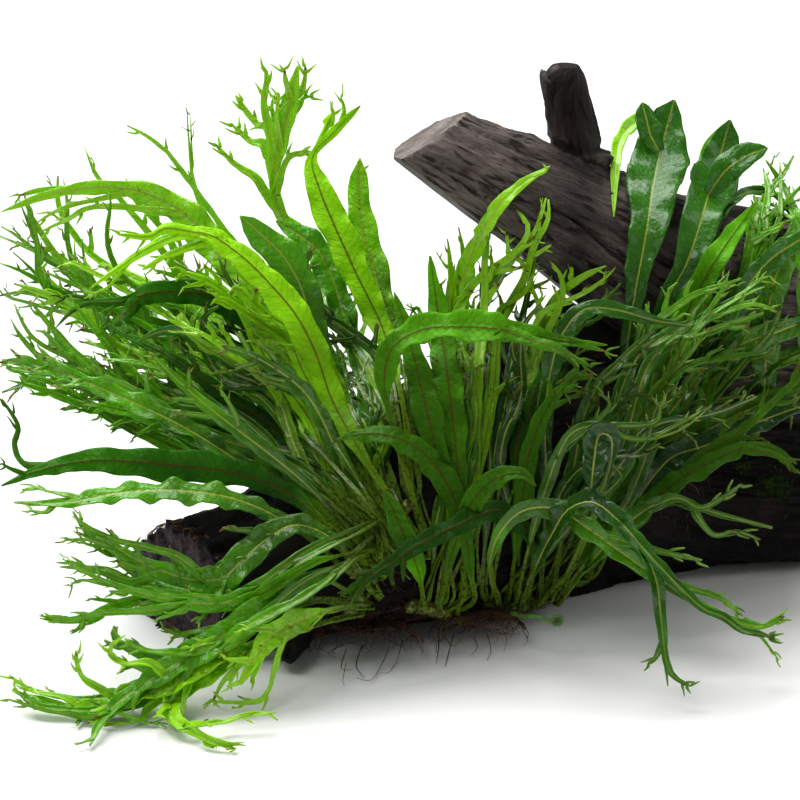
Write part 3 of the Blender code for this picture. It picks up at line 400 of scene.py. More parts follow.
# Narrow fronds whose outer parts are given one by one: the stem they grow from, blade width, tone, and
# for each its depth and its route from the inside out, as (across, down).
SPRAYS = {
    "spray_left_high": ("rhizome_left", 5.0, "green", [
        (10, [(150, 345), (90, 315), (58, 298), (40, 274), (37, 250), (29, 226), (20, 199)]),
        (-6, [(200, 350), (150, 312), (101, 294), (60, 284), (36, 277)]),
        (20, [(150, 330), (100, 298), (80, 274), (44, 258), (18, 241), (0, 233)]),
        (26, [(160, 330), (100, 288), (72, 260), (63, 229), (64, 203), (60, 180)]),
        (0, [(170, 340), (110, 300), (80, 282), (71, 256), (71, 236)]),
        (4, [(170, 350), (110, 306), (88, 276), (79, 252), (79, 233)]),
        (-14, [(210, 330), (160, 298), (122, 272), (109, 240), (114, 206), (113, 194)]),
        (6, [(200, 380), (140, 345), (72, 313), (38, 298), (10, 289), (0, 278)]),
        (14, [(190, 350), (130, 320), (75, 305), (45, 285), (25, 262), (10, 246)]),
        (16, [(150, 336), (100, 290), (62, 262), (42, 248), (32, 230), (22, 204)]),
        (8, [(160, 340), (104, 304), (60, 286), (30, 270), (4, 262)]),
        (2, [(170, 345), (110, 312), (60, 302), (30, 294), (2, 296)]),
        (12, [(156, 334), (98, 292), (58, 262), (32, 246), (6, 232)]),
    ]),
    "spray_left_comb": ("rhizome_left", 5.5, "green", [
        (-30, [(190, 412), (107, 394), (73, 383), (52, 368), (38, 350)]),
        (-26, [(190, 408), (107, 390), (61, 371), (38, 350), (20, 334), (9, 318)]),
        (-34, [(200, 405), (130, 374), (92, 341), (74, 320), (63, 301)]),
        (-28, [(200, 400), (127, 374), (108, 338), (98, 313), (92, 298)]),
        (-20, [(210, 400), (152, 380), (124, 348), (110, 322), (107, 308)]),
        (-38, [(170, 405), (100, 385), (66, 360), (48, 340), (44, 322)]),
        (-24, [(180, 400), (110, 378), (70, 352), (36, 330), (15, 303)]),
        (-40, [(240, 420), (190, 385), (172, 362), (170, 344), (167, 328)]),
        (-44, [(280, 412), (240, 392), (211, 386), (196, 374), (188, 366)]),
        (-36, [(290, 400), (250, 386), (225, 380), (208, 370), (200, 358)]),
        (-30, [(150, 420), (80, 398), (40, 388), (8, 384)]),
        (-18, [(160, 425), (90, 402), (50, 393), (14, 372)]),
    ]),
    "spray_left_dark": ("rhizome_left", 5.5, "dark", [
        (-10, [(290, 390), (250, 342), (207, 322), (184, 318), (168, 299)]),
        (-16, [(300, 390), (260, 345), (214, 298), (190, 276), (175, 258)]),
        (-22, [(310, 390), (270, 345), (240, 307), (210, 284), (197, 252)]),
        (-12, [(310, 380), (275, 335), (240, 300), (224, 272), (219, 254)]),
        (-20, [(384, 390), (353, 338), (324, 307), (308, 282), (305, 246)]),
        (-10, [(370, 390), (330, 330), (304, 303), (299, 272), (296, 262)]),
        (-4, [(385, 400), (362, 348), (350, 330), (345, 309)]),
        (-24, [(330, 420), (270, 366), (230, 342), (200, 332), (182, 330)]),
    ]),
    "spray_top": ("rhizome_left", 7.0, "bright", [
        (34, [(375, 400), (342, 330), (334, 306), (334, 284), (331, 268)]),
        (26, [(360, 420), (310, 388), (292, 362), (276, 338), (268, 326)]),
        (24, [(220, 330), (170, 250), (128, 202), (104, 184), (94, 168), (86, 152)]),
        (22, [(220, 326), (176, 250), (136, 206), (124, 190), (117, 170)]),
    ]),
    "spray_centre": ("rhizome_front", 5.0, "bright", [
        (-30, [(470, 420), (455, 330), (459, 296), (451, 276), (446, 258), (441, 237)]),
        (-34, [(480, 420), (484, 350), (482, 306), (479, 265), (482, 240), (482, 218)]),
        (-28, [
            (470, 420), (452, 340), (469, 296), (489, 276), (512, 258), (528, 237), (530, 219),
            (517, 204)]),
        (-22, [(490, 420), (500, 330), (520, 280), (530, 242), (545, 217), (547, 196)]),
        (-26, [(490, 430), (494, 320), (507, 301), (528, 281), (538, 255)]),
        (-32, [(520, 440), (543, 330), (558, 301), (579, 286), (607, 265)]),
        (-34, [(510, 440), (540, 340), (556, 300), (556, 280), (545, 264)]),
        (-24, [(470, 440), (450, 350), (452, 300), (460, 262), (455, 222)]),
    ]),
    "spray_right": ("rhizome_side", 6.0, "green", [
        (-52, [(610, 440), (642, 357), (680, 325), (720, 300), (767, 288)]),
        (-50, [(616, 440), (650, 350), (690, 325), (740, 306), (762, 300)]),
        (-54, [(620, 445), (655, 360), (700, 340), (735, 325), (760, 314)]),
        (-48, [(612, 430), (640, 350), (670, 310), (700, 285), (744, 272)]),
        (-56, [(620, 460), (655, 393), (690, 370), (730, 362), (770, 352)]),
        (-58, [(616, 470), (650, 400), (672, 375), (684, 352), (678, 338)]),
        (-57, [(618, 470), (656, 398), (684, 370), (698, 350), (702, 334)]),
    ]),
    "spray_low_left": ("rhizome_left", 6.4, "green", [
        (-96, [(300, 560), (240, 585), (190, 582), (150, 572), (105, 550), (88, 537), (74, 517)]),
        (-100, [(310, 562), (260, 586), (205, 594), (140, 593), (108, 576), (64, 563)]),
        (-102, [(312, 566), (250, 596), (180, 602), (120, 606), (85, 617), (43, 613)]),
        (-104, [(322, 576), (270, 612), (205, 645), (150, 675), (100, 702), (50, 700), (14, 684)]),
        (-108, [(318, 580), (262, 624), (205, 660), (130, 698), (80, 710), (40, 712), (12, 694)]),
        (-98, [(332, 572), (286, 600), (250, 625), (200, 640), (160, 655), (122, 640), (121, 628)]),
    ]),
}

# Crowds of narrow fronds between those: how many, the stem they grow from, bend and tip as (across,
# down, depth), how far the tips spread, blade width, and tone.
CROWDS = {
    "crowd_left_low": (7, "rhizome_left", (214, 436, -48), (62, 372, -40), (60, 40, 26), 6.5, "green"),
    "crowd_left_high": (5, "rhizome_left", (254, 376, -8), (92, 298, 4), (50, 34, 26), 5.5, "bright"),
    "crowd_left_middle": (9, "rhizome_left", (306, 392, -36), (224, 316, -30), (56, 46, 30), 6.5, "bright"),
    "crowd_left_dark": (4, "rhizome_left", (262, 420, -30), (140, 360, -24), (70, 44, 20), 6.5, "dark"),
    "crowd_middle": (4, "rhizome_left", (366, 440, -30), (334, 374, -24), (44, 26, 26), 6.5, "green"),
    "crowd_centre": (3, "rhizome_front", (458, 420, -34), (458, 302, -20), (48, 42, 24), 6.5, "green"),
    "crowd_centre_right": (3, "rhizome_side", (520, 430, -40), (556, 332, -34), (52, 44, 22), 7.0, "dark"),
    "crowd_right_low": (4, "rhizome_side", (600, 470, -62), (676, 402, -64), (62, 40, 16), 7.0, "dark"),
    "crowd_right": (4, "rhizome_side", (670, 452, -28), (772, 352, -22), (54, 44, 16), 7.0, "green"),
    "crowd_right_middle": (6, "rhizome_right", (690, 400, -6), (742, 330, 4), (60, 50, 14), 7.0, "dark"),
    "crowd_back": (8, "rhizome_left", (340, 430, 10), (290, 362, 54), (64, 44, 14), 7.0, "green"),
    "crowd_right_top": (5, "rhizome_right", (742, 310, 22), (786, 190, 30), (22, 26, 6), 5.0, "green"),
}


def linear(text):
    """A colour given as sRGB hex, as the linear red, green and blue that shaders take."""
    shares = [int(text[i:i + 2], 16) / 255 for i in (0, 2, 4)]
    return tuple(c / 12.92 if c <= 0.04045 else ((c + 0.055) / 1.055) ** 2.4 for c in shares)


class FernSizes(bpy.types.PropertyGroup):
    """Sizes that shape the fern and its wood."""

    blade_thickness: bpy.props.FloatProperty(
        name="Blade thickness", description="Thickness of a frond at its margin", default=0.00042,
        min=0.0001, unit="LENGTH", precision=5)
    rib_thickness: bpy.props.FloatProperty(
        name="Rib thickness", description="Thickness of a frond's stem; its midrib is a little thinner",
        default=0.0017, min=0.0002, unit="LENGTH", precision=5)
    ruffle_height: bpy.props.FloatProperty(
        name="Ruffle height", description="How far a broad blade's margin waves to and fro",
        default=0.0022, min=0, unit="LENGTH", precision=4)
    ruffle_length: bpy.props.FloatProperty(
        name="Ruffle length", description="Distance from one wave of the margin to the next",
        default=0.021, min=0.002, unit="LENGTH", precision=4)
    wood_fineness: bpy.props.FloatProperty(
        name="Wood fineness", description="Size of the cells that the wood is carved from",
        default=0.0016, min=0.0005, unit="LENGTH", precision=4)
    ridge_height: bpy.props.FloatProperty(
        name="Ridge height", description="How far the weathered ridges of the wood stand out",
        default=0.003, min=0, unit="LENGTH", precision=4)
    root_thickness: bpy.props.FloatProperty(
        name="Root thickness", description="Thickness of one clinging root",
        default=0.0006, min=0.0001, unit="LENGTH", precision=5)


class FernColours(bpy.types.PropertyGroup):
    """Colours of the fern, its wood and the floor."""

    bright: bpy.props.FloatVectorProperty(
        name="Bright frond", description="Young fronds with light behind them", subtype="COLOR",
        default=linear("8CD008"), min=0, max=1)
    green: bpy.props.FloatVectorProperty(
        name="Green frond", description="Most of the fronds", subtype="COLOR",
        default=linear("569E02"), min=0, max=1)
    # Partly painted shade: fronds that lie in shade get this dark tone as well as old leathery ones.
    dark: bpy.props.FloatVectorProperty(
        name="Dark frond", description="Old leathery fronds", subtype="COLOR",
        default=linear("2E6C02"), min=0, max=1)
    stem: bpy.props.FloatVectorProperty(
        name="Frond stem", description="Olive stems of the fronds", subtype="COLOR",
        default=linear("5A7A10"), min=0, max=1)
    burnt: bpy.props.FloatVectorProperty(
        name="Browned tip", description="Dead tips of the strands", subtype="COLOR",
        default=linear("624414"), min=0, max=1)
    wood: bpy.props.FloatVectorProperty(
        name="Driftwood", description="Middle brown of the soaked wood", subtype="COLOR",
        default=linear("3A302E"), min=0, max=1)
    floor: bpy.props.FloatVectorProperty(
        name="Floor", description="Pale floor of the studio", subtype="COLOR",
        default=linear("F4F4F2"), min=0, max=1)


# ---------------- the front view

def to_world(points):
    """Places in metres of points of the front view, given in millimetres from its middle."""
    across, up, depth = np.asarray(points, float).reshape(-1, 3).T
    spread = 1 + depth / VIEW_DISTANCE
    height = FLOOR_LINE + up * spread
    sine, cosine = math.sin(VIEW_TILT), math.cos(VIEW_TILT)
    places = [across * spread, height * sine + depth * cosine, height * cosine - depth * sine]
    return np.stack(places, axis=1) * MM


def to_view(places):
    """The reverse of to_world."""
    x, y, z = np.asarray(places, float).reshape(-1, 3).T / MM
    sine, cosine = math.sin(VIEW_TILT), math.cos(VIEW_TILT)
    depth = y * cosine - z * sine
    spread = 1 + depth / VIEW_DISTANCE
    return np.stack([x / spread, (y * sine + z * cosine - FLOOR_LINE) / spread, depth], axis=1)


def from_pixels(route):
    """Route points given as pixels and depth, in millimetres from the view's middle."""
    middle = VIEW_PIXELS / 2
    return np.array([((x - middle) * MM_PER_PIXEL, (middle - y) * MM_PER_PIXEL, d) for x, y, d in route])


def smooth_route(points, count):
    """Evenly spaced points along a smooth curve through the given ones."""
    knots = np.array([points[0], *points, points[-1]], dtype=float)
    dense = []
    for first, start, end, last in zip(knots, knots[1:], knots[2:], knots[3:]):
        for t in np.linspace(0, 1, 16, endpoint=False):
            bend = 2 * first - 5 * start + 4 * end - last
            turn = -first + 3 * start - 3 * end + last
            dense.append(0.5 * (2 * start + (end - first) * t + bend * t**2 + turn * t**3))
    dense.append(knots[-1])
    return along_route(np.array(dense), np.linspace(0, 1, count))


def lengths(line):
    """How far along a line of points each of them lies."""
    return np.concatenate([[0], np.cumsum(np.linalg.norm(np.diff(line, axis=0), axis=1))])


def along_route(line, shares):
    """Points at given shares of the length of a line of points."""
    reach = lengths(line)
    return np.stack([np.interp(np.asarray(shares) * reach[-1], reach, column) for column in line.T], axis=1)


def fade(t):
    """Falls smoothly from 1 at 0 to 0 at 1."""
    t = np.clip(t, 0, 1)
    return (1 - t) ** 2 * (1 + 2 * t)


def unit(vectors):
    return vectors / np.linalg.norm(vectors, axis=-1, keepdims=True)


def surface_tree(names):
    """One search tree over some of the frame's solids, in metres."""
    verts, faces = [], []
    for name in names:
        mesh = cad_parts[name].data
        start = len(verts)
        verts += [vert.co.copy() for vert in mesh.vertices]
        faces += [[start + index for index in face.vertices] for face in mesh.polygons]
    return BVHTree.FromPolygons(verts, faces)


def sight_line(across, up, reach=1000.0):
    """Two places that show at the same point of the front view, before and behind the plant."""
    return [Vector(place) for place in to_world([(across, up, -reach), (across, up, reach)])]


def hit_depth(tree, across, up):
    """Depth in millimetres at which a sight line first meets a surface, or infinity."""
    near, far = sight_line(across, up)
    place, _, _, _ = tree.ray_cast(near, (far - near).normalized())
    return math.inf if place is None else to_view(place)[0][2]


# ---------------- pieces

def deselect():
    bpy.ops.object.select_all(action="DESELECT")


def select_only(piece):
    deselect()
    piece.select_set(True)
    bpy.context.view_layer.objects.active = piece


def apply_modifier(piece, kind, **settings):
    select_only(piece)
    step = piece.modifiers.new(kind.lower(), kind)
    for key, value in settings.items():
        setattr(step, key, value)
    bpy.ops.object.modifier_apply(modifier=step.name)


def edit_all(piece, *steps):
    """Runs edit mode steps on the whole of a piece."""
    select_only(piece)
    bpy.ops.object.mode_set(mode="EDIT")
    bpy.ops.mesh.select_all(action="SELECT")
    for step in steps:
        step()
    bpy.ops.object.mode_set(mode="OBJECT")


def merge(gap):
    return partial(bpy.ops.mesh.remove_doubles, threshold=gap)


def face_out():
    bpy.ops.mesh.normals_make_consistent(inside=False)


def join_pieces(pieces, name):
    deselect()
    for piece in pieces:
        piece.select_set(True)
    bpy.context.view_layer.objects.active = pieces[0]
    bpy.ops.object.join()
    pieces[0].name = name
    pieces[0].data.name = name
    return pieces[0]


def finish_piece(piece, slot, *nodes):
    """Hands a finished piece to the frame: what it rides on and stands for; its finish slot is not used."""
    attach(piece, "root")
    if nodes:
        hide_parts(*nodes)


def get_vectors(items, key):
    flat = np.zeros(len(items) * 3)
    items.foreach_get(key, flat)
    return flat.reshape(-1, 3)


def get_places(mesh):
    return get_vectors(mesh.vertices, "co")


def normals_of(mesh):
    return get_vectors(mesh.vertex_normals, "vector")


def set_places(mesh, places):
    mesh.vertices.foreach_set("co", np.asarray(places, float).ravel())
    mesh.update()


def add_attribute(mesh, name, vectors):
    layer = mesh.attributes.new(name, "FLOAT_VECTOR", "POINT")
    layer.data.foreach_set("vector", np.asarray(vectors, float).ravel())


# ---------------- fronds

STEM_ROWS = 0.16            # share of a frond's rows that its bare stem gets
# How broad a blade or a tine is on its way: shares of its length, and of its full width there.
BLADE_SHAPE = ([0, 0.12, 0.3, 0.5, 0.7, 0.86, 0.96, 1], [0.16, 0.42, 0.8, 1.0, 0.92, 0.62, 0.25, 0.03])
BLUNT_SHAPE = ([0, 0.27, 0.49, 0.64, 0.8, 0.9, 0.96, 1], [0.14, 0.34, 0.68, 0.92, 1.0, 0.76, 0.45, 0.05])
CREST_SHAPE = ([0, 0.1, 0.3, 0.5, 0.66, 0.8, 0.94, 1], [0.2, 0.6, 0.95, 1.0, 0.82, 0.58, 0.4, 0.08])
WAIST_SHAPE = ([0, 0.2, 0.4, 0.62, 0.74, 0.82, 0.9, 0.97, 1],
               [0.16, 0.45, 0.8, 1.0, 0.74, 0.2, 0.3, 0.2, 0.03])
CROWN_SHAPE = ([0, 0.2, 0.4, 0.6, 0.7, 0.75, 0.82, 0.9, 0.96, 1],
               [0.3, 0.6, 0.85, 0.85, 0.6, 0.42, 0.9, 1.0, 0.6, 0.1])
OWN_SHAPES = {
    "frond_right_1": BLUNT_SHAPE, "frond_right_2": BLUNT_SHAPE, "frond_top_3": BLUNT_SHAPE,
    "frond_middle_6": BLUNT_SHAPE, "frond_top_8": BLUNT_SHAPE, "frond_top_2": WAIST_SHAPE,
    "frond_top_1": CROWN_SHAPE,
}
LOBE_SHAPE = ([0, 0.25, 0.55, 0.78, 0.92, 1], [0.3, 0.8, 1.0, 0.86, 0.5, 0.05])
TINE_SHAPE = ([0, 0.4, 0.75, 0.93, 1], [1.0, 0.86, 0.66, 0.42, 0.08])
TOOTH_SHAPE = ([0, 0.3, 0.7, 1], [1.0, 0.75, 0.42, 0.06])
TOOTH_WIDTH = 2.2           # millimetres up to which a tine tapers like a tooth
TOOTH_SPOTS = (0.42, 0.84)  # first and last share of a tine's free length that has a tooth
TOOTH_ANGLES = (22, 46)     # degrees
TINE_ANGLES = (24, 46)      # degrees
CREST_END = 0.965           # share of a frond's length beyond which no tine leaves it
STEM_HALF = 1.25            # millimetres, half a broad frond's stem
BROAD_WIDTH = 10            # millimetres from which a blade gets a finer grid
FROND_ROOM = 3.0            # millimetres that a frond keeps in front of the wood
BLADE_START = 0.62          # share of its solid's bare stem at which a blade's wings begin
TINE_ROW = 1.3              # millimetres from one row of a tine to the next
SUNK = 0.12                 # millimetres that a tine's foot lies inside its blade
LOWEST_FROND = 0.0025       # metres above the floor
FOOT_REACH = 0.03           # metres from a creeping stem at which a frond's foot still finds it
FOOT_DEPTH = 0.002          # metres that the foot goes into it
BACK_LIMIT = 126.0          # millimetres that a frond may lie behind the origin
BURNT_LENGTH = 3.2          # millimetres of a browned tip
# The plant's shaded heart, where the fronds get painted shade: the line along its middle runs in the front
# view from left to right, in millimetres, and the painted shade turns to painted light away from it.
HEART_ACROSS = (0.0, 200.0)
HEART_UP = (-35.0, -20.0)
HEART_STRETCH = 1.6         # how much further it reaches sideways than up
HEART_REACH = 70.0
HEART_FADE = 60.0
BROWNED_SPRAYS = ("spray_left_high", "spray_left_dark", "spray_centre", "crowd_left_high")


def painted_lightness(places):
    """How far places in the front view are from the plant's heart: -1 inside it, 1 at the rim. The fronds
    get painted shade in the heart and painted light towards the rim.
    """
    across = np.clip(places[:, 0], *HEART_ACROSS)
    up = np.interp(across, HEART_ACROSS, HEART_UP)
    gap = np.hypot((places[:, 0] - across) / HEART_STRETCH, places[:, 1] - up)
    return np.clip((gap - HEART_REACH) / HEART_FADE, -1, 1)


class Strand:
    """One ribbon of a frond: its blade, or a tine that leaves another ribbon."""

    def __init__(self, line, half, columns, facing, twist=0.0):
        self.line = line
        self.half = half
        self.columns = columns
        self.rows = len(line) - 1
        self.burnt = 0.0
        self.length = lengths(line)
        self.ahead = unit(np.gradient(line, axis=0))
        across = unit(np.cross(self.ahead, facing))
        over = np.cross(across, self.ahead)
        turn = (twist * self.length / self.length[-1])[:, None]
        self.across = across * np.cos(turn) + over * np.sin(turn)
        self.normal = np.cross(self.across, self.ahead)
        self.stem = np.zeros(len(line))
        even = np.linspace(-1, 1, columns + 1)
        self.spread = np.sign(even) * np.abs(even) ** 1.2


class Frond:
    """One frond: ribbons that are laid out side by side on a flat grid, cut apart, and put in place."""

    def __init__(self, name, seed, line, width, start, rows, columns, whole, burnt_share):
        self.name = name
        self.random = np.random.default_rng(seed)
        self.whole = whole
        self.burnt_share = burnt_share
        self.ruffle = self.random.uniform(0.6, 1.2)
        self.phases = self.random.uniform(0, 2 * math.pi, 6)
        self.cup = self.random.uniform(-0.12, 0.3)
        self.shade = self.random.uniform(-1, 1)
        self.lobes = max(1.0, width / 8)
        stem_rows = round(rows * STEM_ROWS)
        shares = np.concatenate([np.linspace(0, start, stem_rows, endpoint=False),
                                 np.linspace(start, 1, rows + 1 - stem_rows)])
        self.shares = shares
        in_blade = np.clip((shares - start) / (1 - start), 0, 1)
        shape = OWN_SHAPES.get(name, BLADE_SHAPE if whole else CREST_SHAPE)
        half = np.interp(in_blade, *shape) * width / 2
        least = np.where(in_blade <= 0.5, min(STEM_HALF, width / 9), 0.3)
        half = np.maximum(half, least) * (0.45 + 0.55 * fade(1 - shares / 0.05))
        roll = FROND_LEAN + FROND_SWAY * np.sin(3.1 * shares + 1.9 * seed)
        facing = np.stack([0 * roll, np.sin(roll), -np.cos(roll)], axis=1)
        self.main = Strand(along_route(line, shares), half, columns, facing)
        self.main.stem = 1 - np.clip((shares - start * 0.75) / min(start * 0.5, 0.14), 0, 1)
        self.main.burnt = float(not whole and width < BROAD_WIDTH and self.random.random() < burnt_share)
        self.strands = [self.main]

    def surface(self, strand):
        """Places across each row, and how far they stand out: groove, cup, ruffles and quilting."""
        sizes = bpy.context.scene.fern_sizes
        reach, half = strand.length[:, None], strand.half[:, None]
        notch = 0.17 * np.minimum(1.0, half / 4)
        step = reach / self.lobes
        low = 1 + notch * np.sin(step / 2.9 + self.phases[4]) * np.sin(step / 7.1)
        high = 1 + notch * np.sin(step / 3.3 + self.phases[5]) * np.sin(step / 6.3 + 1)
        u = strand.spread[None, :]
        x = half * u * np.where(u < 0, low, high)
        breadth = np.minimum(1.0, half / 7)
        turn = 2 * math.pi * reach / (sizes.ruffle_length / MM)
        low_wave = np.sin(turn + self.phases[0]) + 0.45 * np.sin(1.9 * turn + self.phases[1])
        high_wave = np.sin(turn * 1.07 + self.phases[2]) + 0.45 * np.sin(2.1 * turn + self.phases[3])
        wave = np.where(u < 0, low_wave, high_wave) * sizes.ruffle_height / MM * self.ruffle
        wave = wave * breadth * np.abs(u) ** 1.8
        quilt = 0.6 * breadth * np.sin(2 * math.pi * (reach / 5.2 + np.abs(x) / 6.5))
        quilt = quilt * 4 * np.abs(u) * (1 - np.abs(u))
        groove = -0.45 * np.exp(-(x / 0.9) ** 2) * np.minimum(1.0, half / 2.5)
        return x, wave + quilt + groove + self.cup * half * np.abs(u) ** 1.6

    def add_tine(self, parent, row, points, width):
        """Adds a ribbon that leaves another's middle line at a row and runs through given points."""
        start, across, normal = parent.line[row], parent.across[row], parent.normal[row]
        far = np.linalg.norm(points[-1] - start)
        bow = start + parent.ahead[row] * min(1.5, 0.15 * far)
        count = int(np.clip(round(1.1 * far / TINE_ROW), 5, 26))
        line = smooth_route([start, bow, *points], count + 1)
        reach = lengths(line)
        aside = (line - start) @ across
        inside = np.abs(aside) < parent.half[row]
        exit_reach = reach[np.argmin(inside)] if not inside.all() else reach[-1]
        x, height = self.surface(parent)
        ride = np.interp(aside, x[row], height[row]) - SUNK * fade(reach / max(exit_reach, 0.1) - 0.5)
        line = line + normal * ride[:, None]
        share = reach / reach[-1]
        shape = LOBE_SHAPE if self.whole else TINE_SHAPE if width > TOOTH_WIDTH else TOOTH_SHAPE
        half = width / 2 * np.interp(share, *shape)
        if not self.whole:
            half = half * (1 + 0.35 * fade((reach - exit_reach) / (1.3 * width)))
        half = np.where(reach < 0.7 * exit_reach, np.minimum(half, 0.8 * parent.half[row]), half)
        columns = 4 if width > TOOTH_WIDTH else 2
        tine = Strand(line, half, columns, normal, self.random.uniform(-0.6, 0.6))
        tine.exit_reach = exit_reach
        tine.burnt = float(self.random.random() < self.burnt_share)
        self.strands.append(tine)
        return tine

    def sprout(self, parent, row, side, reach, angle, width):
        """Adds a tine that leaves at an angle and bends a little on its way."""
        turn = self.random.uniform(-0.7, 0.35) * angle
        lift = self.random.uniform(-0.3, 0.3)
        ahead, across, normal = parent.ahead[row], parent.across[row] * side, parent.normal[row]
        total = reach + parent.half[row] / math.sin(angle)
        points = []
        for step in (0.35, 0.7, 1.0):
            now = angle + turn * step
            heading = ahead * math.cos(now) + across * math.sin(now) + normal * lift * step
            points.append(parent.line[row] + heading * total * step)
        return self.add_tine(parent, row, np.array(points), width)

    def add_teeth(self, tine, count, width, longest=5.5):
        """Short points along a tine's outer half, by turns on both sides."""
        side = self.random.choice([-1, 1])
        free = tine.length[-1] - tine.exit_reach
        for spot in np.linspace(*TOOTH_SPOTS, count):
            reach = tine.exit_reach + free * (spot + self.random.uniform(-0.06, 0.06))
            row = min(int(np.searchsorted(tine.length, reach)), tine.rows - 1)
            angle = math.radians(self.random.uniform(*TOOTH_ANGLES))
            self.sprout(tine, row, side, longest * self.random.uniform(0.45, 1), angle, width)
            side = -side

    def crest(self, first_share, count, length, width):
        """Parts the outer blade like an antler: tines on both sides, mostly by turns."""
        side = self.random.choice([-1, 1])
        for t in np.linspace(0, 1, count):
            spot = first_share + (CREST_END - first_share) * t + self.random.uniform(-0.02, 0.02)
            row = min(int(np.searchsorted(self.shares, spot)), self.main.rows - 2)
            reach = length * self.random.uniform(0.55, 1.25) * (1.2 - 0.75 * t)
            angle = math.radians(self.random.uniform(*TINE_ANGLES))
            size = min(width, 1.5 * self.main.half[row])
            tine = self.sprout(self.main, row, side, reach, angle, size)
            self.add_teeth(tine, min(3, int(reach / 5)), size * 0.45)
            if self.random.random() < 0.75:
                side = -side

    def fork_by_hand(self, strands):
        """Adds tines along given routes; what they take up is lost to the blade beyond."""
        main = self.main
        rows = [int(np.searchsorted(self.shares, share)) for share, _, _ in strands]
        if not self.whole and self.name not in OWN_SHAPES:
            for row, (_, width, _) in zip(rows, strands):
                lost = min(0.4, 0.35 * width / main.half[row])
                main.half = main.half * (1 - lost * (1 - fade((main.length - main.length[row]) / 7)))
        for row, (_, width, route) in zip(rows, strands):
            points = from_pixels(route)
            points[:, 2] += self.main.line[row][2]
            tine = self.add_tine(main, row, points, width if self.whole else 1.25 * width)
            if not self.whole:
                self.add_teeth(tine, min(4, 1 + int(tine.length[-1] / 8)), min(2.0, width * 0.62), 8.0)

    def lay_out(self):
        """Where each ribbon lies on the flat grid, as (strand, first row, first column), and its columns."""
        spots = [(self.main, 0, 0)]
        bands = []
        total = self.main.columns
        for strand in self.strands[1:]:
            fitting = [band for band in bands
                       if band[1] == strand.columns and band[2] + strand.rows <= self.main.rows]
            if not fitting:
                bands.append([total, strand.columns, 0])
                total += strand.columns
                fitting = bands[-1:]
            band = fitting[0]
            spots.append((strand, band[2], band[0]))
            band[2] += strand.rows
        return spots, total

    def cut_grid(self, spots, columns):
        """A flat grid cut into ribbons: its piece, its form, and each vertex's ribbon, row and column."""
        rows = self.main.rows
        owner = np.full((rows, columns), -1)
        for number, (strand, row, column) in enumerate(spots):
            owner[row:row + strand.rows, column:column + strand.columns] = number
        deselect()
        bpy.ops.mesh.primitive_grid_add(x_subdivisions=columns, y_subdivisions=rows, size=2)
        piece = bpy.context.object
        piece.name = self.name
        piece.data.name = self.name
        form = bmesh.new()
        form.from_mesh(piece.data)
        numbers = {}
        for face in form.faces:
            middle = face.calc_center_median()
            numbers[face] = owner[int((middle.y + 1) / 2 * rows), int((middle.x + 1) / 2 * columns)]
        slits = [edge for edge in form.edges if len({numbers[face] for face in edge.link_faces}) > 1]
        bmesh.ops.split_edges(form, edges=slits)
        spare = [face for face in form.faces if numbers[face] < 0]
        bmesh.ops.delete(form, geom=spare, context="FACES")
        picks = []
        for vert in form.verts:
            number = numbers[vert.link_faces[0]]
            row = round((vert.co.y + 1) / 2 * rows) - spots[number][1]
            column = round((vert.co.x + 1) / 2 * columns) - spots[number][2]
            picks.append((number, row, column))
        return piece, form, np.array(picks)

    def put_in_place(self, spots, picks):
        """Each vertex's place in the front view, and the six facts about it that its finish reads."""
        places = np.zeros((len(picks), 3))
        facts = np.zeros((len(picks), 6))
        for number, (strand, _, _) in enumerate(spots):
            mine = picks[:, 0] == number
            row, column = picks[mine, 1], picks[mine, 2]
            x, height = self.surface(strand)
            grid = (strand.line[:, None] + strand.across[:, None] * x[:, :, None]
                    + strand.normal[:, None] * height[:, :, None])
            left = strand.length[-1] - strand.length
            burnt = strand.burnt * np.clip((BURNT_LENGTH - left) / 1.5, 0, 1)
            places[mine] = grid[row, column]
            spot = [x[row, column] * MM, strand.length[row] * MM, strand.half[row] * MM]
            facts[mine, :5] = np.stack([*spot, burnt[row], strand.stem[row]], axis=1)
        # The sixth fact: the frond's own random tint, with painted shade in the plant's heart and painted
        # light towards its rim.
        facts[:, 5] = 0.7 * self.shade + 2.2 * painted_lightness(places)
        return places, facts

    def make(self, materials, turned):
        """The finished piece: ribbons cut from a grid, put in place and given their thickness."""
        spots, columns = self.lay_out()
        piece, form, picks = self.cut_grid(spots, columns)
        places, facts = self.put_in_place(spots, picks)
        places = to_world(places)
        places[:, 1] = np.minimum(places[:, 1], BACK_LIMIT * MM)
        places[:, 2] = np.maximum(places[:, 2], LOWEST_FROND)
        for vert, place in zip(form.verts, places):
            vert.co = place
        if not turned:
            bmesh.ops.reverse_faces(form, faces=form.faces)
        form.to_mesh(piece.data)
        form.free()
        add_attribute(piece.data, "leaf_place", facts[:, :3])
        add_attribute(piece.data, "leaf_wear", facts[:, 3:])
        for material in materials:
            piece.data.materials.append(material)
        self.thicken(piece, facts)
        return piece

    def thicken(self, piece, facts):
        """Gives the blade its two faces; the midrib and the stem are thickest."""
        sizes = bpy.context.scene.fern_sizes
        x, half, stem = facts[:, 0] / MM, facts[:, 2] / MM, facts[:, 4]
        rib = np.exp(-(x / 0.8) ** 2) * np.clip(half / 3, 0.2, 0.8)
        body = np.clip(np.maximum(rib, stem * (1 - 0.5 * np.abs(x) / np.maximum(half, 0.3))), 0, 1)
        group = piece.vertex_groups.new(name="body")
        for index, weight in enumerate(body):
            group.add([index], float(weight), "REPLACE")
        apply_modifier(piece, "SOLIDIFY", thickness=sizes.rib_thickness, offset=-1, vertex_group=group.name,
                       thickness_vertex_group=sizes.blade_thickness / sizes.rib_thickness,
                       material_offset=1, material_offset_rim=0)
        bpy.ops.object.shade_smooth()


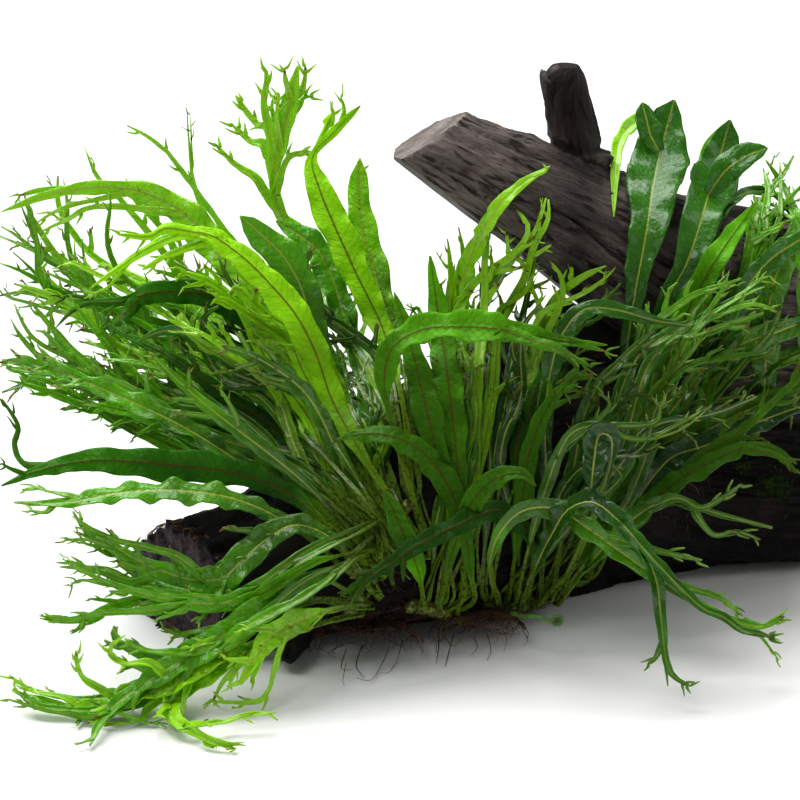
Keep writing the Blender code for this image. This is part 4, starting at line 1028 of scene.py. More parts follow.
def cad_line(name, route):
    """A frond's middle line in the front view, at the depth where its solid lies."""
    line = smooth_route(from_pixels(route), STATIONS)
    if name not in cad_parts:
        return line
    corners = to_view(np.unique(np.round(get_places(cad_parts[name].data), 7), axis=0))
    picks = np.round(np.linspace(0, STATIONS - 1, CAD_STEPS + 1)).astype(int)
    depths = []
    for pick in picks:
        gaps = np.linalg.norm(corners[:, :2] - line[pick, :2], axis=1)
        depths.append(corners[np.argsort(gaps)[:4], 2].mean())
    line[:, 2] += np.interp(np.arange(STATIONS), picks, np.array(depths) - line[picks, 2])
    return line


def clear_of_wood(line, tree):
    """Brings a line forward where it would run into the wood or too far back."""
    behind = (BACK_LIMIT - (FLOOR_LINE + line[:, 1]) * math.sin(VIEW_TILT)) / math.cos(VIEW_TILT)
    line[:, 2] = np.minimum(line[:, 2], behind)
    limits = np.array([hit_depth(tree, across, up) for across, up, _ in line]) - FROND_ROOM
    over = np.clip(line[:, 2] - limits, 0, None)
    over[~np.isfinite(limits)] = 0
    padded = np.pad(over, 8, mode="edge")
    line[:, 2] -= np.max([padded[k:k + len(line)] * fade(abs(k - 8) / 9) for k in range(17)], axis=0)
    return line


def rooted(line, stems):
    """Lengthens a line at its foot, so that it starts inside the nearest creeping stem."""
    foot = Vector(to_world(line[:1])[0])
    place, out, _, gap = stems.find_nearest(foot)
    if gap > FOOT_REACH or (foot - place).dot(out) < 0:
        return line
    inside = to_view([place - out * FOOT_DEPTH])[0]
    return smooth_route([inside, *line[::5]], len(line))


def tone_of(key):
    if key in BRIGHT_FRONDS:
        return "bright"
    return "dark" if key in DARK_FRONDS else "green"


def make_named_fronds(materials, wood, stems):
    """The fronds whose routes are given one by one."""
    for seed, (key, (width, start, route)) in enumerate([*FRONDS.items(), *SMALL_FRONDS.items()]):
        name = f"frond_{key}"
        line = cad_line(name, route)
        if key in SMALL_FRONDS:
            line = clear_of_wood(line, wood)
        line = rooted(line, stems)
        whole = key in WHOLE_FRONDS
        broad = width >= BROAD_WIDTH
        burnt_share = 0.6 if key.startswith(("left", "middle")) else 0.15
        rows, columns = (88, 12) if broad else (64, 8)
        frond = Frond(name, seed, line, width, start * BLADE_START, rows, columns, whole, burnt_share)
        if key in STRANDS:
            frond.fork_by_hand(STRANDS[key])
            if key.startswith("low"):
                frond.crest(0.4, 7, 15.0, 3.2)
        elif not whole:
            frond.crest(0.78 if broad else 0.62, 6, 11.0 if broad else 14.0, 2.8)
        tone = tone_of(key)
        piece = frond.make(materials[tone], key in TURNED_FRONDS)
        nodes = [name] if key in FRONDS else []
        finish_piece(piece, f"frond_{tone}", *nodes)


def foothold(stem, random):
    """A random place on a creeping stem, as pixels and depth, and a point in front of it to rise through."""
    places = to_view(get_places(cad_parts[stem].data))
    across, up, depth = places[random.integers(0, len(places))] * 0.5 + places.mean(axis=0) * 0.5
    start = np.array([VIEW_PIXELS / 2 + across / MM_PER_PIXEL, VIEW_PIXELS / 2 - up / MM_PER_PIXEL, depth])
    return start, start + random.uniform(-1, 1, 3) * (5, 4, 2) + (0, -14, -5)


def narrow_frond(name, seed, points, width, trees, reach):
    """A narrow frond along pixel points, kept off the wood, with an antler-like outer part."""
    random = np.random.default_rng(seed)
    line = smooth_route(from_pixels(points), STATIONS)
    turn = np.linspace(0, len(line) * random.uniform(0.14, 0.26), len(line))[:, None]
    swing = np.sin(turn + random.uniform(0, 2 * math.pi, 3)) * random.uniform(1.5, 4.5, 3)
    swing = swing * fade(1 - turn / 5)
    wood, stems = trees
    line = rooted(clear_of_wood(line + swing, wood), stems)
    frond = Frond(name, seed, line, width * random.uniform(0.8, 1.25), 0.2, 48, 6, False,
                  0.5 if name.startswith(BROWNED_SPRAYS) else 0.12)
    frond.crest(random.uniform(0.6, 0.74), int(random.integers(5, 8)), reach, 2.8)
    return frond


def spray_routes(random, stem, routes):
    """For each frond of a spray: its route, how far its tines reach, and whether it is turned."""
    for depth, points in routes:
        start, rise = foothold(stem, random)
        route = [start, rise, *[(across, down, depth) for across, down in points]]
        yield route, random.uniform(9, 14), random.random() < 0.3


def crowd_routes(random, stem, count, bend, tip, spread):
    """The same for a crowd, whose fronds wander about one bend and one tip."""
    for _ in range(count):
        wander = random.uniform(-1, 1, 3) * spread
        start, rise = foothold(stem, random)
        middle = np.array(bend) + wander * 0.5 + random.uniform(-1, 1, 3) * (14, 14, 8)
        end = np.array(tip) + wander
        quarter = start * 0.45 + middle * 0.55 + random.uniform(-1, 1, 3) * (10, 10, 3) + (0, -10, -4)
        late = middle * 0.42 + end * 0.58 + random.uniform(-1, 1, 3) * (14, 20, 6)
        hook = end + (end - late) * 0.12 + random.uniform(-1, 1, 3) * (14, 16, 5)
        route = [start, rise, quarter, middle, late, end, hook]
        yield route, random.uniform(9, 16), random.random() < 0.4


def make_group(name, seed, found, width, tone, materials, trees):
    """Narrow fronds along found routes, joined in one piece."""
    pieces = []
    for i, (route, reach, turned) in enumerate(found):
        frond = narrow_frond(f"{name}_{i}", seed + i, route, width, trees, reach)
        pieces.append(frond.make(materials[tone], turned))
    finish_piece(join_pieces(pieces, name), f"frond_{tone}")


def make_sprays(materials, trees):
    for number, (name, (stem, width, tone, routes)) in enumerate(SPRAYS.items()):
        found = spray_routes(np.random.default_rng(60 + number), stem, routes)
        make_group(name, 3000 + 40 * number, found, width, tone, materials, trees)


def make_crowds(materials, trees):
    for number, (name, (count, stem, bend, tip, spread, width, tone)) in enumerate(CROWDS.items()):
        found = crowd_routes(np.random.default_rng(100 + number), stem, count, bend, tip, spread)
        make_group(name, 1000 + 40 * number, found, width, tone, materials, trees)


# ---------------- wood

# Middle lines of the wood's arms in millimetres, with how thick each is there on the whole.
WOOD_AXES = {
    "lower": (44, [(-158, -24, 18), (-112, -21, 24), (-20, -7, 53), (60, 21, 66), (95, 43, 64),
                   (150, 71, 30), (228, 83, 22)]),
    "upper": (34, [(-34, 45, 257), (22, 50, 221), (81, 57, 184), (120, 64, 157), (165, 71, 142),
                   (234, 76, 134)]),
    "stub": (12, [(97, 64, 188), (90, 65.5, 212), (80.5, 66, 248), (81, 66, 268)]),
    "knot": (8, [(-46, -34, 20), (-51, -58, 11), (-54, -76, 6)]),
}
# Flat cuts: a point on each, its outward direction in the solid and as worn, how torn its rim is, how
# far the cut spreads, and which of the cut finishes it has.
SAWN_CUTS = [
    ((15, 60, 231), (-0.42, 0.08, 0.905), (-0.5, 0.05, 0.865), 0.7, 62, 1),
    ((-110, -23, 30), (-0.775, -0.637, 0.06), (-0.775, -0.637, 0.06), 5.0, 62, 2),
    ((217, 60, 105), (1, 0, 0), (1, 0, 0), 0.7, 130, 1),
]
CUT_REACH = 11.0                # millimetres that a saw cut tells on the wood behind it
TIP_END = -2.5                  # how far left the upper arm reaches, in millimetres
TIP_FOOT = 170                  # millimetres above the floor from which that holds
COLLAR_SPOT = 30.0              # how far up its axis the broken branch has a ring of bark
COLLAR_MIDDLE = 88.0            # how far right that ring's middle is
COLLAR_SLOPE = 0.36             # how steeply it falls to the right
COLLAR_NEAR = 1.2               # how far from the branch's axis it may be, in its thicknesses
PEG_TOP = 261.5                 # millimetres above the floor
# Places where the wood is split or worn off flat: a point, the outward direction, on which arm, and
# how much of the wood beyond is gone.
BEVELS = [
    ((75.7, 55, 258.8), (-0.62, -0.25, 0.74), 2, 1.0),
    ((7.4, 54.8, 209), (-0.6, -0.27, -0.75), 1, 0.85),
]
DARK_MIDDLE = 86.0              # how far right the upper arm is darkest, round the broken branch
DARK_REACH = 17.0
BURL_SPOT = (570, 262, 30)      # lumpy bark on the upper arm: across, down, depth
BURL_REACH = 26.0               # millimetres
BURL_HEIGHT = 4.2


def lump(broad, fine):
    """Uneven height at a place that is given on the scale of its broad and of its fine lumps."""
    return noise.noise(Vector(broad)) + 0.5 * noise.noise(Vector(fine))


def copy_nodes(names, label, swell):
    """Copies of some of the frame's solids, merged and swollen a little so that they run together."""
    copies = []
    for name in names:
        copy = bpy.data.objects.new(f"{label}_{name}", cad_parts[name].data.copy())
        bpy.context.scene.collection.objects.link(copy)
        copy.data.materials.clear()
        edit_all(copy, merge(0.00002))
        if swell:
            apply_modifier(copy, "DISPLACE", strength=swell, mid_level=0.0)
        copies.append(copy)
    return join_pieces(copies, label)


def soften(piece, cell, rounds):
    """Rebuilds a piece from even cells, so that its parts are one skin, and rounds its edges off."""
    apply_modifier(piece, "REMESH", mode="VOXEL", voxel_size=cell, use_smooth_shade=True)
    apply_modifier(piece, "SMOOTH", factor=0.5, iterations=rounds)


def arm_places(places):
    """For each arm: how near each place is to it, and its place along and across the arm's grain."""
    found = []
    for radius, points in WOOD_AXES.values():
        axis = smooth_route(points, 90)
        ahead = unit(np.gradient(axis, axis=0))
        side = unit(np.cross(ahead, (0.1, 0.2, 1.0)))
        over = np.cross(side, ahead)
        reach = lengths(axis)
        gaps = np.linalg.norm(places[:, None, :] - axis[None, :, :], axis=2)
        best = gaps.argmin(axis=1)
        offset = places - axis[best]
        along = reach[best] + np.einsum("ij,ij->i", offset, ahead[best])
        near = gaps[np.arange(len(places)), best] / radius
        grain = np.stack([along, np.einsum("ij,ij->i", offset, side[best]),
                          np.einsum("ij,ij->i", offset, over[best])], axis=1)
        found.append((near, grain))
    return found


def ridge_height(along, one, two, shift):
    """Height in millimetres of the weathered ridges and cracks that run along the grain."""
    broad = noise.noise(Vector((along / 95 + shift, one / 13, two / 13)))
    fine = noise.noise(Vector((along / 46 + shift, one / 4.4, two / 4.4)))
    twist = noise.noise(Vector((along / 60 - shift, one / 24, two / 24)))
    crack = noise.noise(Vector((along / 150 - shift, one / 15 + 0.4 * twist, two / 15)))
    split = math.exp(-((crack / 0.045) ** 2)) * max(0.0, 0.4 + twist)
    return 1.0 * broad + 0.42 * (1 - 2.6 * abs(fine)) - 1.15 * split


def weathered_height(places, arms, weights):
    """How far the wood's skin stands out: ridges, the branch's ring of bark, and the burl's lumps."""
    height = np.zeros(len(places))
    calm = np.clip((PEG_TOP - places[:, 2]) / 14, 0.15, 1)
    for number, (_, grain) in enumerate(arms):
        for index in np.nonzero(weights[number] > 0.02)[0]:
            height[index] += calm[index] * weights[number][index] * ridge_height(*grain[index], 7.3 * number)
    height *= bpy.context.scene.fern_sizes.ridge_height / MM
    nearness, grain = arms[2]
    collar = grain[:, 0] - COLLAR_SPOT + COLLAR_SLOPE * (places[:, 0] - COLLAR_MIDDLE)
    # A raised, uneven ring of bark, and a groove above it.
    ring = np.exp(-((collar / 2.8) ** 2)) * (nearness < COLLAR_NEAR)
    for index in np.nonzero(ring > 0.05)[0]:
        height[index] += ring[index] * (2.4 + 5.0 * noise.noise(Vector(places[index] / 4)))
    height -= 1.8 * np.exp(-(((collar - 5.2) / 2.2) ** 2)) * (nearness < COLLAR_NEAR)
    burl = to_world(from_pixels([BURL_SPOT]))[0] / MM
    lumpy = np.exp(-((np.linalg.norm(places - burl, axis=1) / BURL_REACH) ** 2))
    for index in np.nonzero(lumpy > 0.05)[0]:
        height[index] += lumpy[index] * BURL_HEIGHT * lump(places[index] / 7.5, places[index] / 3.6)
    return height, lumpy


def saw_flat(places, normals, height, moved):
    """Brings the moved skin to the plane of each saw cut, with a torn rim round it."""
    for point, outward, seen, ragged, spread, _ in SAWN_CUTS:
        outward = np.array(outward) / np.linalg.norm(outward)
        gap = (places - point) @ outward
        within = np.linalg.norm(places - point, axis=1) < spread
        flat = (np.abs(gap) < 1.4) & (normals @ outward > 0.6) & within
        facing = np.array(seen) / np.linalg.norm(seen)
        end = np.nonzero((np.abs(gap) < CUT_REACH) & within)[0]
        near = fade(np.abs(gap[end]) / CUT_REACH)
        moved[end] -= normals[end] * (0.6 * height[end] * near)[:, None]
        moved[flat] = places[flat] - outward * gap[flat][:, None]
        step = (point - places[end]) @ facing / (outward @ facing) + gap[end]
        rough = np.array([lump(place / 6, place / 2.4) for place in places[end]])
        moved[end] += outward * (near * (step + 0.5 * ragged * rough * flat[end]))[:, None]
        moved[end] += (outward * 0.5 + normals[end]) * (near * ragged * rough * ~flat[end])[:, None]


def carve_wood(piece):
    """Weathers the wood, saws its three ends, and wears and splits the upper arm and the branch."""
    mesh = piece.data
    places = get_places(mesh) / MM
    normals = normals_of(mesh)
    arms = arm_places(places)
    nearness = np.stack([near for near, _ in arms])
    weights = np.exp(-((nearness / 0.8) ** 2) * 2)
    weights /= weights.sum(axis=0)
    height, lumpy = weathered_height(places, arms, weights)
    moved = places + normals * height[:, None]
    saw_flat(places, normals, height, moved)
    tip = (moved[:, 0] < TIP_END) & (places[:, 2] > TIP_FOOT)
    moved[tip, 0] = TIP_END + 0.2 * (moved[tip, 0] - TIP_END)
    split = np.zeros(len(places))
    for point, outward, arm, share in BEVELS:
        outward = unit(np.array(outward))
        over = np.clip((moved - point) @ outward, 0, None) * (weights[arm] > 0.5)
        moved -= share * over[:, None] * outward
        split += (over > 0.2) * (arm == 2)
    moved[:, 2] -= 0.75 * np.clip(moved[:, 2] - PEG_TOP, 0, None)
    moved[:, 2] = np.maximum(moved[:, 2], 0)
    set_places(mesh, moved * MM)
    tone = np.clip((places[:, 2] + 0.25 * places[:, 0] - 120) / 60, 0, 1) * (1 - 0.8 * weights[2])
    tone *= 1 - 0.65 * np.exp(-(((places[:, 0] - DARK_MIDDLE) / DARK_REACH) ** 2))
    tone = np.maximum(tone, split)
    grain = np.stack([arms[arm][1][i] for i, arm in enumerate(nearness.argmin(axis=0))])
    # What the finish reads: the place along the grain, and how bleached, lumpy and raised it is.
    add_attribute(mesh, "grain", grain * MM)
    add_attribute(mesh, "wear", np.stack([tone, lumpy, height], axis=1))


def mark_cuts(piece):
    """Gives the faces of the saw cuts their own finish."""
    for point, _, seen, ragged, spread, finish in SAWN_CUTS:
        facing = Vector(seen).normalized()
        for face in piece.data.polygons:
            offset = face.center / MM - Vector(point)
            near = abs(offset.dot(facing)) < 1 + 0.7 * ragged and offset.length < spread
            if near and face.normal.dot(facing) > 0.75:
                face.material_index = finish


def make_driftwood():
    piece = copy_nodes(WOOD_NODES, "driftwood", 0.0004)
    soften(piece, bpy.context.scene.fern_sizes.wood_fineness, 6)
    carve_wood(piece)
    piece.data.materials.append(wood_finish())
    piece.data.materials.append(cut_finish("sawn_weathered_wood", "5E5550", "8A807A"))
    piece.data.materials.append(cut_finish("sawn_wet_wood", "0C080A", "4A3C44"))
    mark_cuts(piece)
    select_only(piece)
    bpy.ops.object.shade_smooth()
    finish_piece(piece, "driftwood", *WOOD_NODES)


# ---------------- strands, scales and roots

def add_strands(name, routes, shares, thickness, material, sides):
    """Thin round strands along routes of places in metres, in one mesh."""
    deselect()
    bpy.ops.curve.primitive_bezier_curve_add()
    piece = bpy.context.object
    curve = piece.data
    curve.dimensions = "3D"
    curve.splines.clear()
    for route, taper in zip(routes, shares):
        spline = curve.splines.new("POLY")
        spline.points.add(len(route) - 1)
        for point, place, share in zip(spline.points, route, taper):
            point.co = (place[0], place[1], max(place[2], thickness), 1)
            point.radius = share
    curve.bevel_depth = thickness / 2
    curve.bevel_resolution = sides
    curve.use_fill_caps = True
    bpy.ops.object.convert(target="MESH")
    piece = bpy.context.object
    piece.name = name
    piece.data.name = name
    edit_all(piece, merge(thickness / 60), face_out)
    bpy.ops.object.shade_smooth()
    piece.data.materials.clear()
    piece.data.materials.append(material)
    return piece


def add_roots(name, routes, ending, breadths, thickness, material, random):
    """Strands that taper to a share of their start, each with a breadth of its own."""
    shares = [np.linspace(1, ending, len(route)) * random.uniform(*breadths) for route in routes]
    return add_strands(name, routes, shares, thickness, material, 0)


def scale_mesh(name, spots, outward, leaning, length, width, random):
    """Small three-sided scales or hairs that stand on a surface."""
    verts, faces = [], []
    for place, out, lean in zip(spots, outward, leaning):
        heading = unit(out + lean)
        side = unit(np.cross(heading, random.normal(size=3)))
        over = np.cross(heading, side)
        size = length * random.uniform(0.5, 1.3)
        start = len(verts)
        foot = place - out * 0.1 * length
        for turn in (0, 2.1, 4.2):
            verts.append(foot + (side * math.cos(turn) + over * math.sin(turn)) * width / 2)
        verts.append(place + heading * size)
        faces += [(start, start + 2, start + 1), (start, start + 1, start + 3),
                  (start + 1, start + 2, start + 3), (start + 2, start, start + 3)]
    mesh = bpy.data.meshes.new(name)
    mesh.from_pydata([tuple(vert) for vert in verts], [], faces)
    piece = bpy.data.objects.new(name, mesh)
    bpy.context.scene.collection.objects.link(piece)
    edit_all(piece, face_out)
    return piece


def cover_in_scales(piece, name, count, lean, length, width, random):
    """Joins brown scales to a piece, at random places on it."""
    picks = random.integers(0, len(piece.data.vertices), count)
    spots, outward = get_places(piece.data)[picks], normals_of(piece.data)[picks]
    leaning = random.normal(size=(count, 3)) * lean
    scales = scale_mesh(name, spots, outward, leaning, length, width, random)
    scales.data.materials.append(root_finish())
    return join_pieces([piece, scales], piece.name)


def make_rhizomes():
    """Creeping stems, rough with brown scales and fine hairs."""
    random = np.random.default_rng(3)
    for name in RHIZOME_NODES:
        piece = copy_nodes([name], f"{name}_scaly", 0.0)
        soften(piece, 0.0008, 4)
        places = get_places(piece.data)
        lumps = np.array([lump(place * 420, place * 900) for place in places])
        set_places(piece.data, places + normals_of(piece.data) * (lumps * 0.0009)[:, None])
        piece.data.materials.append(rhizome_finish())
        cover_in_scales(piece, f"{name}_scales", 900, 0.8, 0.0016, 0.0006, random)
        finish_piece(piece, "rhizome", name)


def creeping_route(tree, start, heading, steps, stride, lift, random):
    """Places of a root that wanders over a surface."""
    route = [np.array(start)]
    heading = unit(np.array(heading, float))
    for _ in range(steps):
        heading = unit(heading + random.normal(size=3) * 0.38)
        goal = route[-1] + heading * stride
        place, out, _, gap = tree.find_nearest(Vector(goal))
        if place is not None and gap < 0.02:
            side = 1 if (Vector(goal) - place).dot(out) > 0 else 0.3
            goal = np.array(place) + np.array(out) * lift * side
        goal[2] = max(goal[2], 0.0012)
        route.append(goal)
    return np.array(route)


def floor_route(points, height):
    """Places on the floor that show at given pixels of the front view."""
    places = []
    for across, down in points:
        near, far = sight_line(*from_pixels([(across, down, 900)])[0])
        share = (near.z - height) / (near.z - far.z)
        places.append(np.array(near.lerp(far, share)))
    return places


# Roots that trail out in front, as seen in the front view.
TRAILING_ROOTS = [
    [(519, 621), (521, 646), (519, 672)], [(486, 639), (488, 650), (489, 658)],
    [(435, 634), (438, 650), (436, 663)], [(391, 652), (384, 668), (375, 679), (360, 678)],
    [(345, 671), (344, 679), (346, 686)], [(336, 655), (339, 664), (345, 671)],
    [(404, 648), (398, 662), (388, 671), (378, 672)], [(452, 640), (447, 652), (449, 662)],
    [(500, 630), (508, 640), (505, 652)], [(366, 650), (356, 664), (362, 676)],
    [(470, 640), (474, 650), (470, 656)], [(340, 650), (332, 652), (330, 662)],
]
MAT_ROOTS = 240             # in each lump
CREEPING_ROOTS = 42         # from each creeping stem


def make_roots():
    """Wiry brown roots: matted lumps at the foot, and single ones that creep over the wood."""
    random = np.random.default_rng(5)
    thickness = bpy.context.scene.fern_sizes.root_thickness
    for name in ROOT_MAT_NODES:
        low, high = (np.array(corner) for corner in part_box(name))
        middle, half = (low + high) / 2, (high - low) / 2
        tree = surface_tree([name, *WOOD_NODES])
        routes = []
        for _ in range(MAT_ROOTS):
            turn = random.uniform(0, 2 * math.pi)
            spread = random.uniform(0.1, 0.9)
            start = middle + half * (spread * math.cos(turn), 0.45 + 0.5 * spread * math.sin(turn), 0.9)
            heading = random.normal(size=3) * (1, 0.6, 0.1)
            steps = int(random.integers(6, 18))
            routes.append(creeping_route(tree, start, heading, steps, 0.0026, 0.0008, random))
        tangled = f"{name}_tangled"
        piece = add_roots(tangled, routes, 0.35, (0.5, 1.4), thickness, root_finish(), random)
        finish_piece(piece, "roots", name)
    tree = surface_tree(WOOD_NODES)
    routes = []
    for name in RHIZOME_NODES:
        corners = get_places(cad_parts[name].data)
        for pick in random.integers(0, len(corners), CREEPING_ROOTS):
            heading = random.normal(size=3) * (1, 0.3, 0.6) + (0, -0.25, -0.9)
            steps = int(random.integers(7, 22))
            routes.append(creeping_route(tree, corners[pick], heading, steps, 0.0032, 0.0009, random))
    held = surface_tree([*WOOD_NODES, *ROOT_MAT_NODES])
    for points in TRAILING_ROOTS:
        across, down = np.array(points[0]) + random.normal(size=2) * (4, 2) - (0, 6)
        foot = from_pixels([(across, down, 0)])[0]
        foot[2] = hit_depth(held, foot[0], foot[1])
        if math.isinf(foot[2]):
            continue
        shifted = [np.array(spot) + random.normal(size=2) * 2.5 for spot in points[1:]]
        places = floor_route(shifted, random.uniform(0.0008, 0.004))
        routes.append(smooth_route([to_world([foot])[0], *places], 12))
    piece = add_roots("clinging_roots", routes, 0.3, (0.6, 1.4), thickness, root_finish(), random)
    finish_piece(piece, "roots")


def make_end_fibres():
    """Torn fibres that stick out round the sawn end of the lower arm."""
    random = np.random.default_rng(8)
    point, outward, *_ = SAWN_CUTS[1]
    outward = unit(np.array(outward))
    side = unit(np.cross(outward, (0, 0, 1)))
    over = np.cross(side, outward)
    tree = surface_tree(["wood_lower_arm"])
    routes = []
    for turn in np.linspace(0, 2 * math.pi, 420, endpoint=False):
        around = side * math.cos(turn) + over * math.sin(turn)
        outer = (np.array(point) - outward * 1.5) * MM + around * 0.09
        place, _, _, _ = tree.ray_cast(Vector(outer), Vector(-around))
        if place is None:
            continue
        if noise.noise(Vector((3 * math.cos(turn), 3 * math.sin(turn), 0.0))) < random.uniform(-0.3, 0.4):
            continue
        ahead = np.cross(outward, around) * random.choice([-1, 1]) - outward * random.uniform(-0.5, 1)
        steps = int(random.integers(2, 8))
        routes.append(creeping_route(tree, place, ahead, steps, 0.0021, 0.0011, random))
    piece = add_roots("torn_fibres", routes, 0.3, (0.5, 1.5), 0.0005, fibre_finish(), random)
    finish_piece(piece, "driftwood")


FIDDLEHEAD_STALK = [(512, 613, -54), (522, 616, -60), (534, 616, -66), (545, 619, -68), (555, 624, -68)]
COIL_REACH = 2.3            # millimetres


def make_fiddlehead():
    """A young frond, still coiled, on its short stalk."""
    stalk = to_world(smooth_route(from_pixels(FIDDLEHEAD_STALK), 10)) / MM
    centre = stalk[-1] + (1.0, 0, COIL_REACH)
    coil = []
    for turn in np.linspace(0, 3.6 * math.pi, 34)[1:]:
        reach = COIL_REACH * (1 - turn / (4.6 * math.pi))
        coil.append(centre + (reach * math.sin(turn), -0.07 * turn, -reach * math.cos(turn)))
    route = np.array([*stalk, *coil]) * MM
    share = np.concatenate([np.linspace(1, 1.05, 10), np.linspace(1.05, 0.5, len(coil))])
    piece = add_strands("fiddlehead_coil", [route], [share], 0.0019, shoot_finish(), 2)
    random = np.random.default_rng(9)
    cover_in_scales(piece, "fiddlehead_scales", 130, 0.7, 0.0011, 0.0005, random)
    finish_piece(piece, "frond_bright", "fiddlehead")


# Tufts of moss, as across, down and spread in pixels.
MOSS_SPOTS = [(774, 486, 9), (782, 500, 5), (765, 494, 5), (742, 470, 4), (600, 470, 4)]


def make_moss():
    """A little moss in the cleft of the wood."""
    random = np.random.default_rng(12)
    tree = surface_tree(WOOD_NODES)
    spots, outward = [], []
    for across, down, spread in MOSS_SPOTS:
        for _ in range(60 * spread):
            x, y = random.normal(size=2) * spread + (across, down)
            near, far = sight_line(*from_pixels([(x, y, 900)])[0])
            place, out, _, _ = tree.ray_cast(near, (far - near).normalized())
            if place is not None:
                spots.append(np.array(place))
                outward.append(np.array(out))
    leaning = random.normal(size=(len(spots), 3)) * 0.6 + (0, 0, 0.5)
    piece = scale_mesh("moss", spots, outward, leaning, 0.003, 0.0006, random)
    piece.data.materials.append(moss_finish())
    finish_piece(piece, "rhizome")


# ---------------- finishes

def add_node(tree, kind, inputs=None, **settings):
    """Adds a node, sets it and its inputs, which are values or other nodes' outputs; gives its outputs."""
    node = tree.nodes.new(f"ShaderNode{kind}")
    for key, value in settings.items():
        setattr(node, key, value)
    for name, value in (inputs or {}).items():
        if isinstance(value, bpy.types.NodeSocket):
            tree.links.new(value, node.inputs[name])
        else:
            node.inputs[name].default_value = value
    return node.outputs


def new_finish(name, **values):
    """A material whose Principled shader is set as given, and what adds nodes to it."""
    material = bpy.data.materials.new(name)
    material.use_nodes = True
    shader = material.node_tree.nodes["Principled BSDF"]
    for key, value in values.items():
        shader.inputs[key.replace("_", " ")].default_value = value
    return material, partial(add_node, material.node_tree)


def show(material, colour, rough, bump):
    """Links a finish's colour, roughness and relief to its shader."""
    tree = material.node_tree
    shader = tree.nodes["Principled BSDF"]
    for name, output in {"Base Color": colour, "Roughness": rough, "Normal": bump}.items():
        tree.links.new(output, shader.inputs[name])
    return material


def paint(colour, factor=1.0):
    """A linear colour, or sRGB hex text, with its strength changed, as a shader's socket takes it."""
    if isinstance(colour, str):
        colour = linear(colour)
    return tuple(c * factor for c in colour[:3]) + (1.0,)


# Sizes of the patterns in metres: on the leaves,
VEIN_SPACING = 0.0044       # between the side veins of a broad blade
NET_SPACING = 0.0020        # meshes of the finest veins
DOT_SPACING = 0.0018        # brown dots on a stem
PATCH_SIZE = 0.03           # tonal patches along a blade
WANDER_SIZE = 0.006         # turns of a side vein
DROP_SIZE = 0.009           # wetter and drier places
GRIT_SIZE = 0.0022          # fine unevenness of the skin
# and on the wood.
STREAK_WIDTH = 0.0022
SPLIT_WIDTH = 0.0028
THREAD_WIDTH = 0.0011
WOOD_BLOTCH = 0.03
RUST_SIZE = 0.018
SAW_MARK = 0.0018
CUT_BLOTCH = 0.01


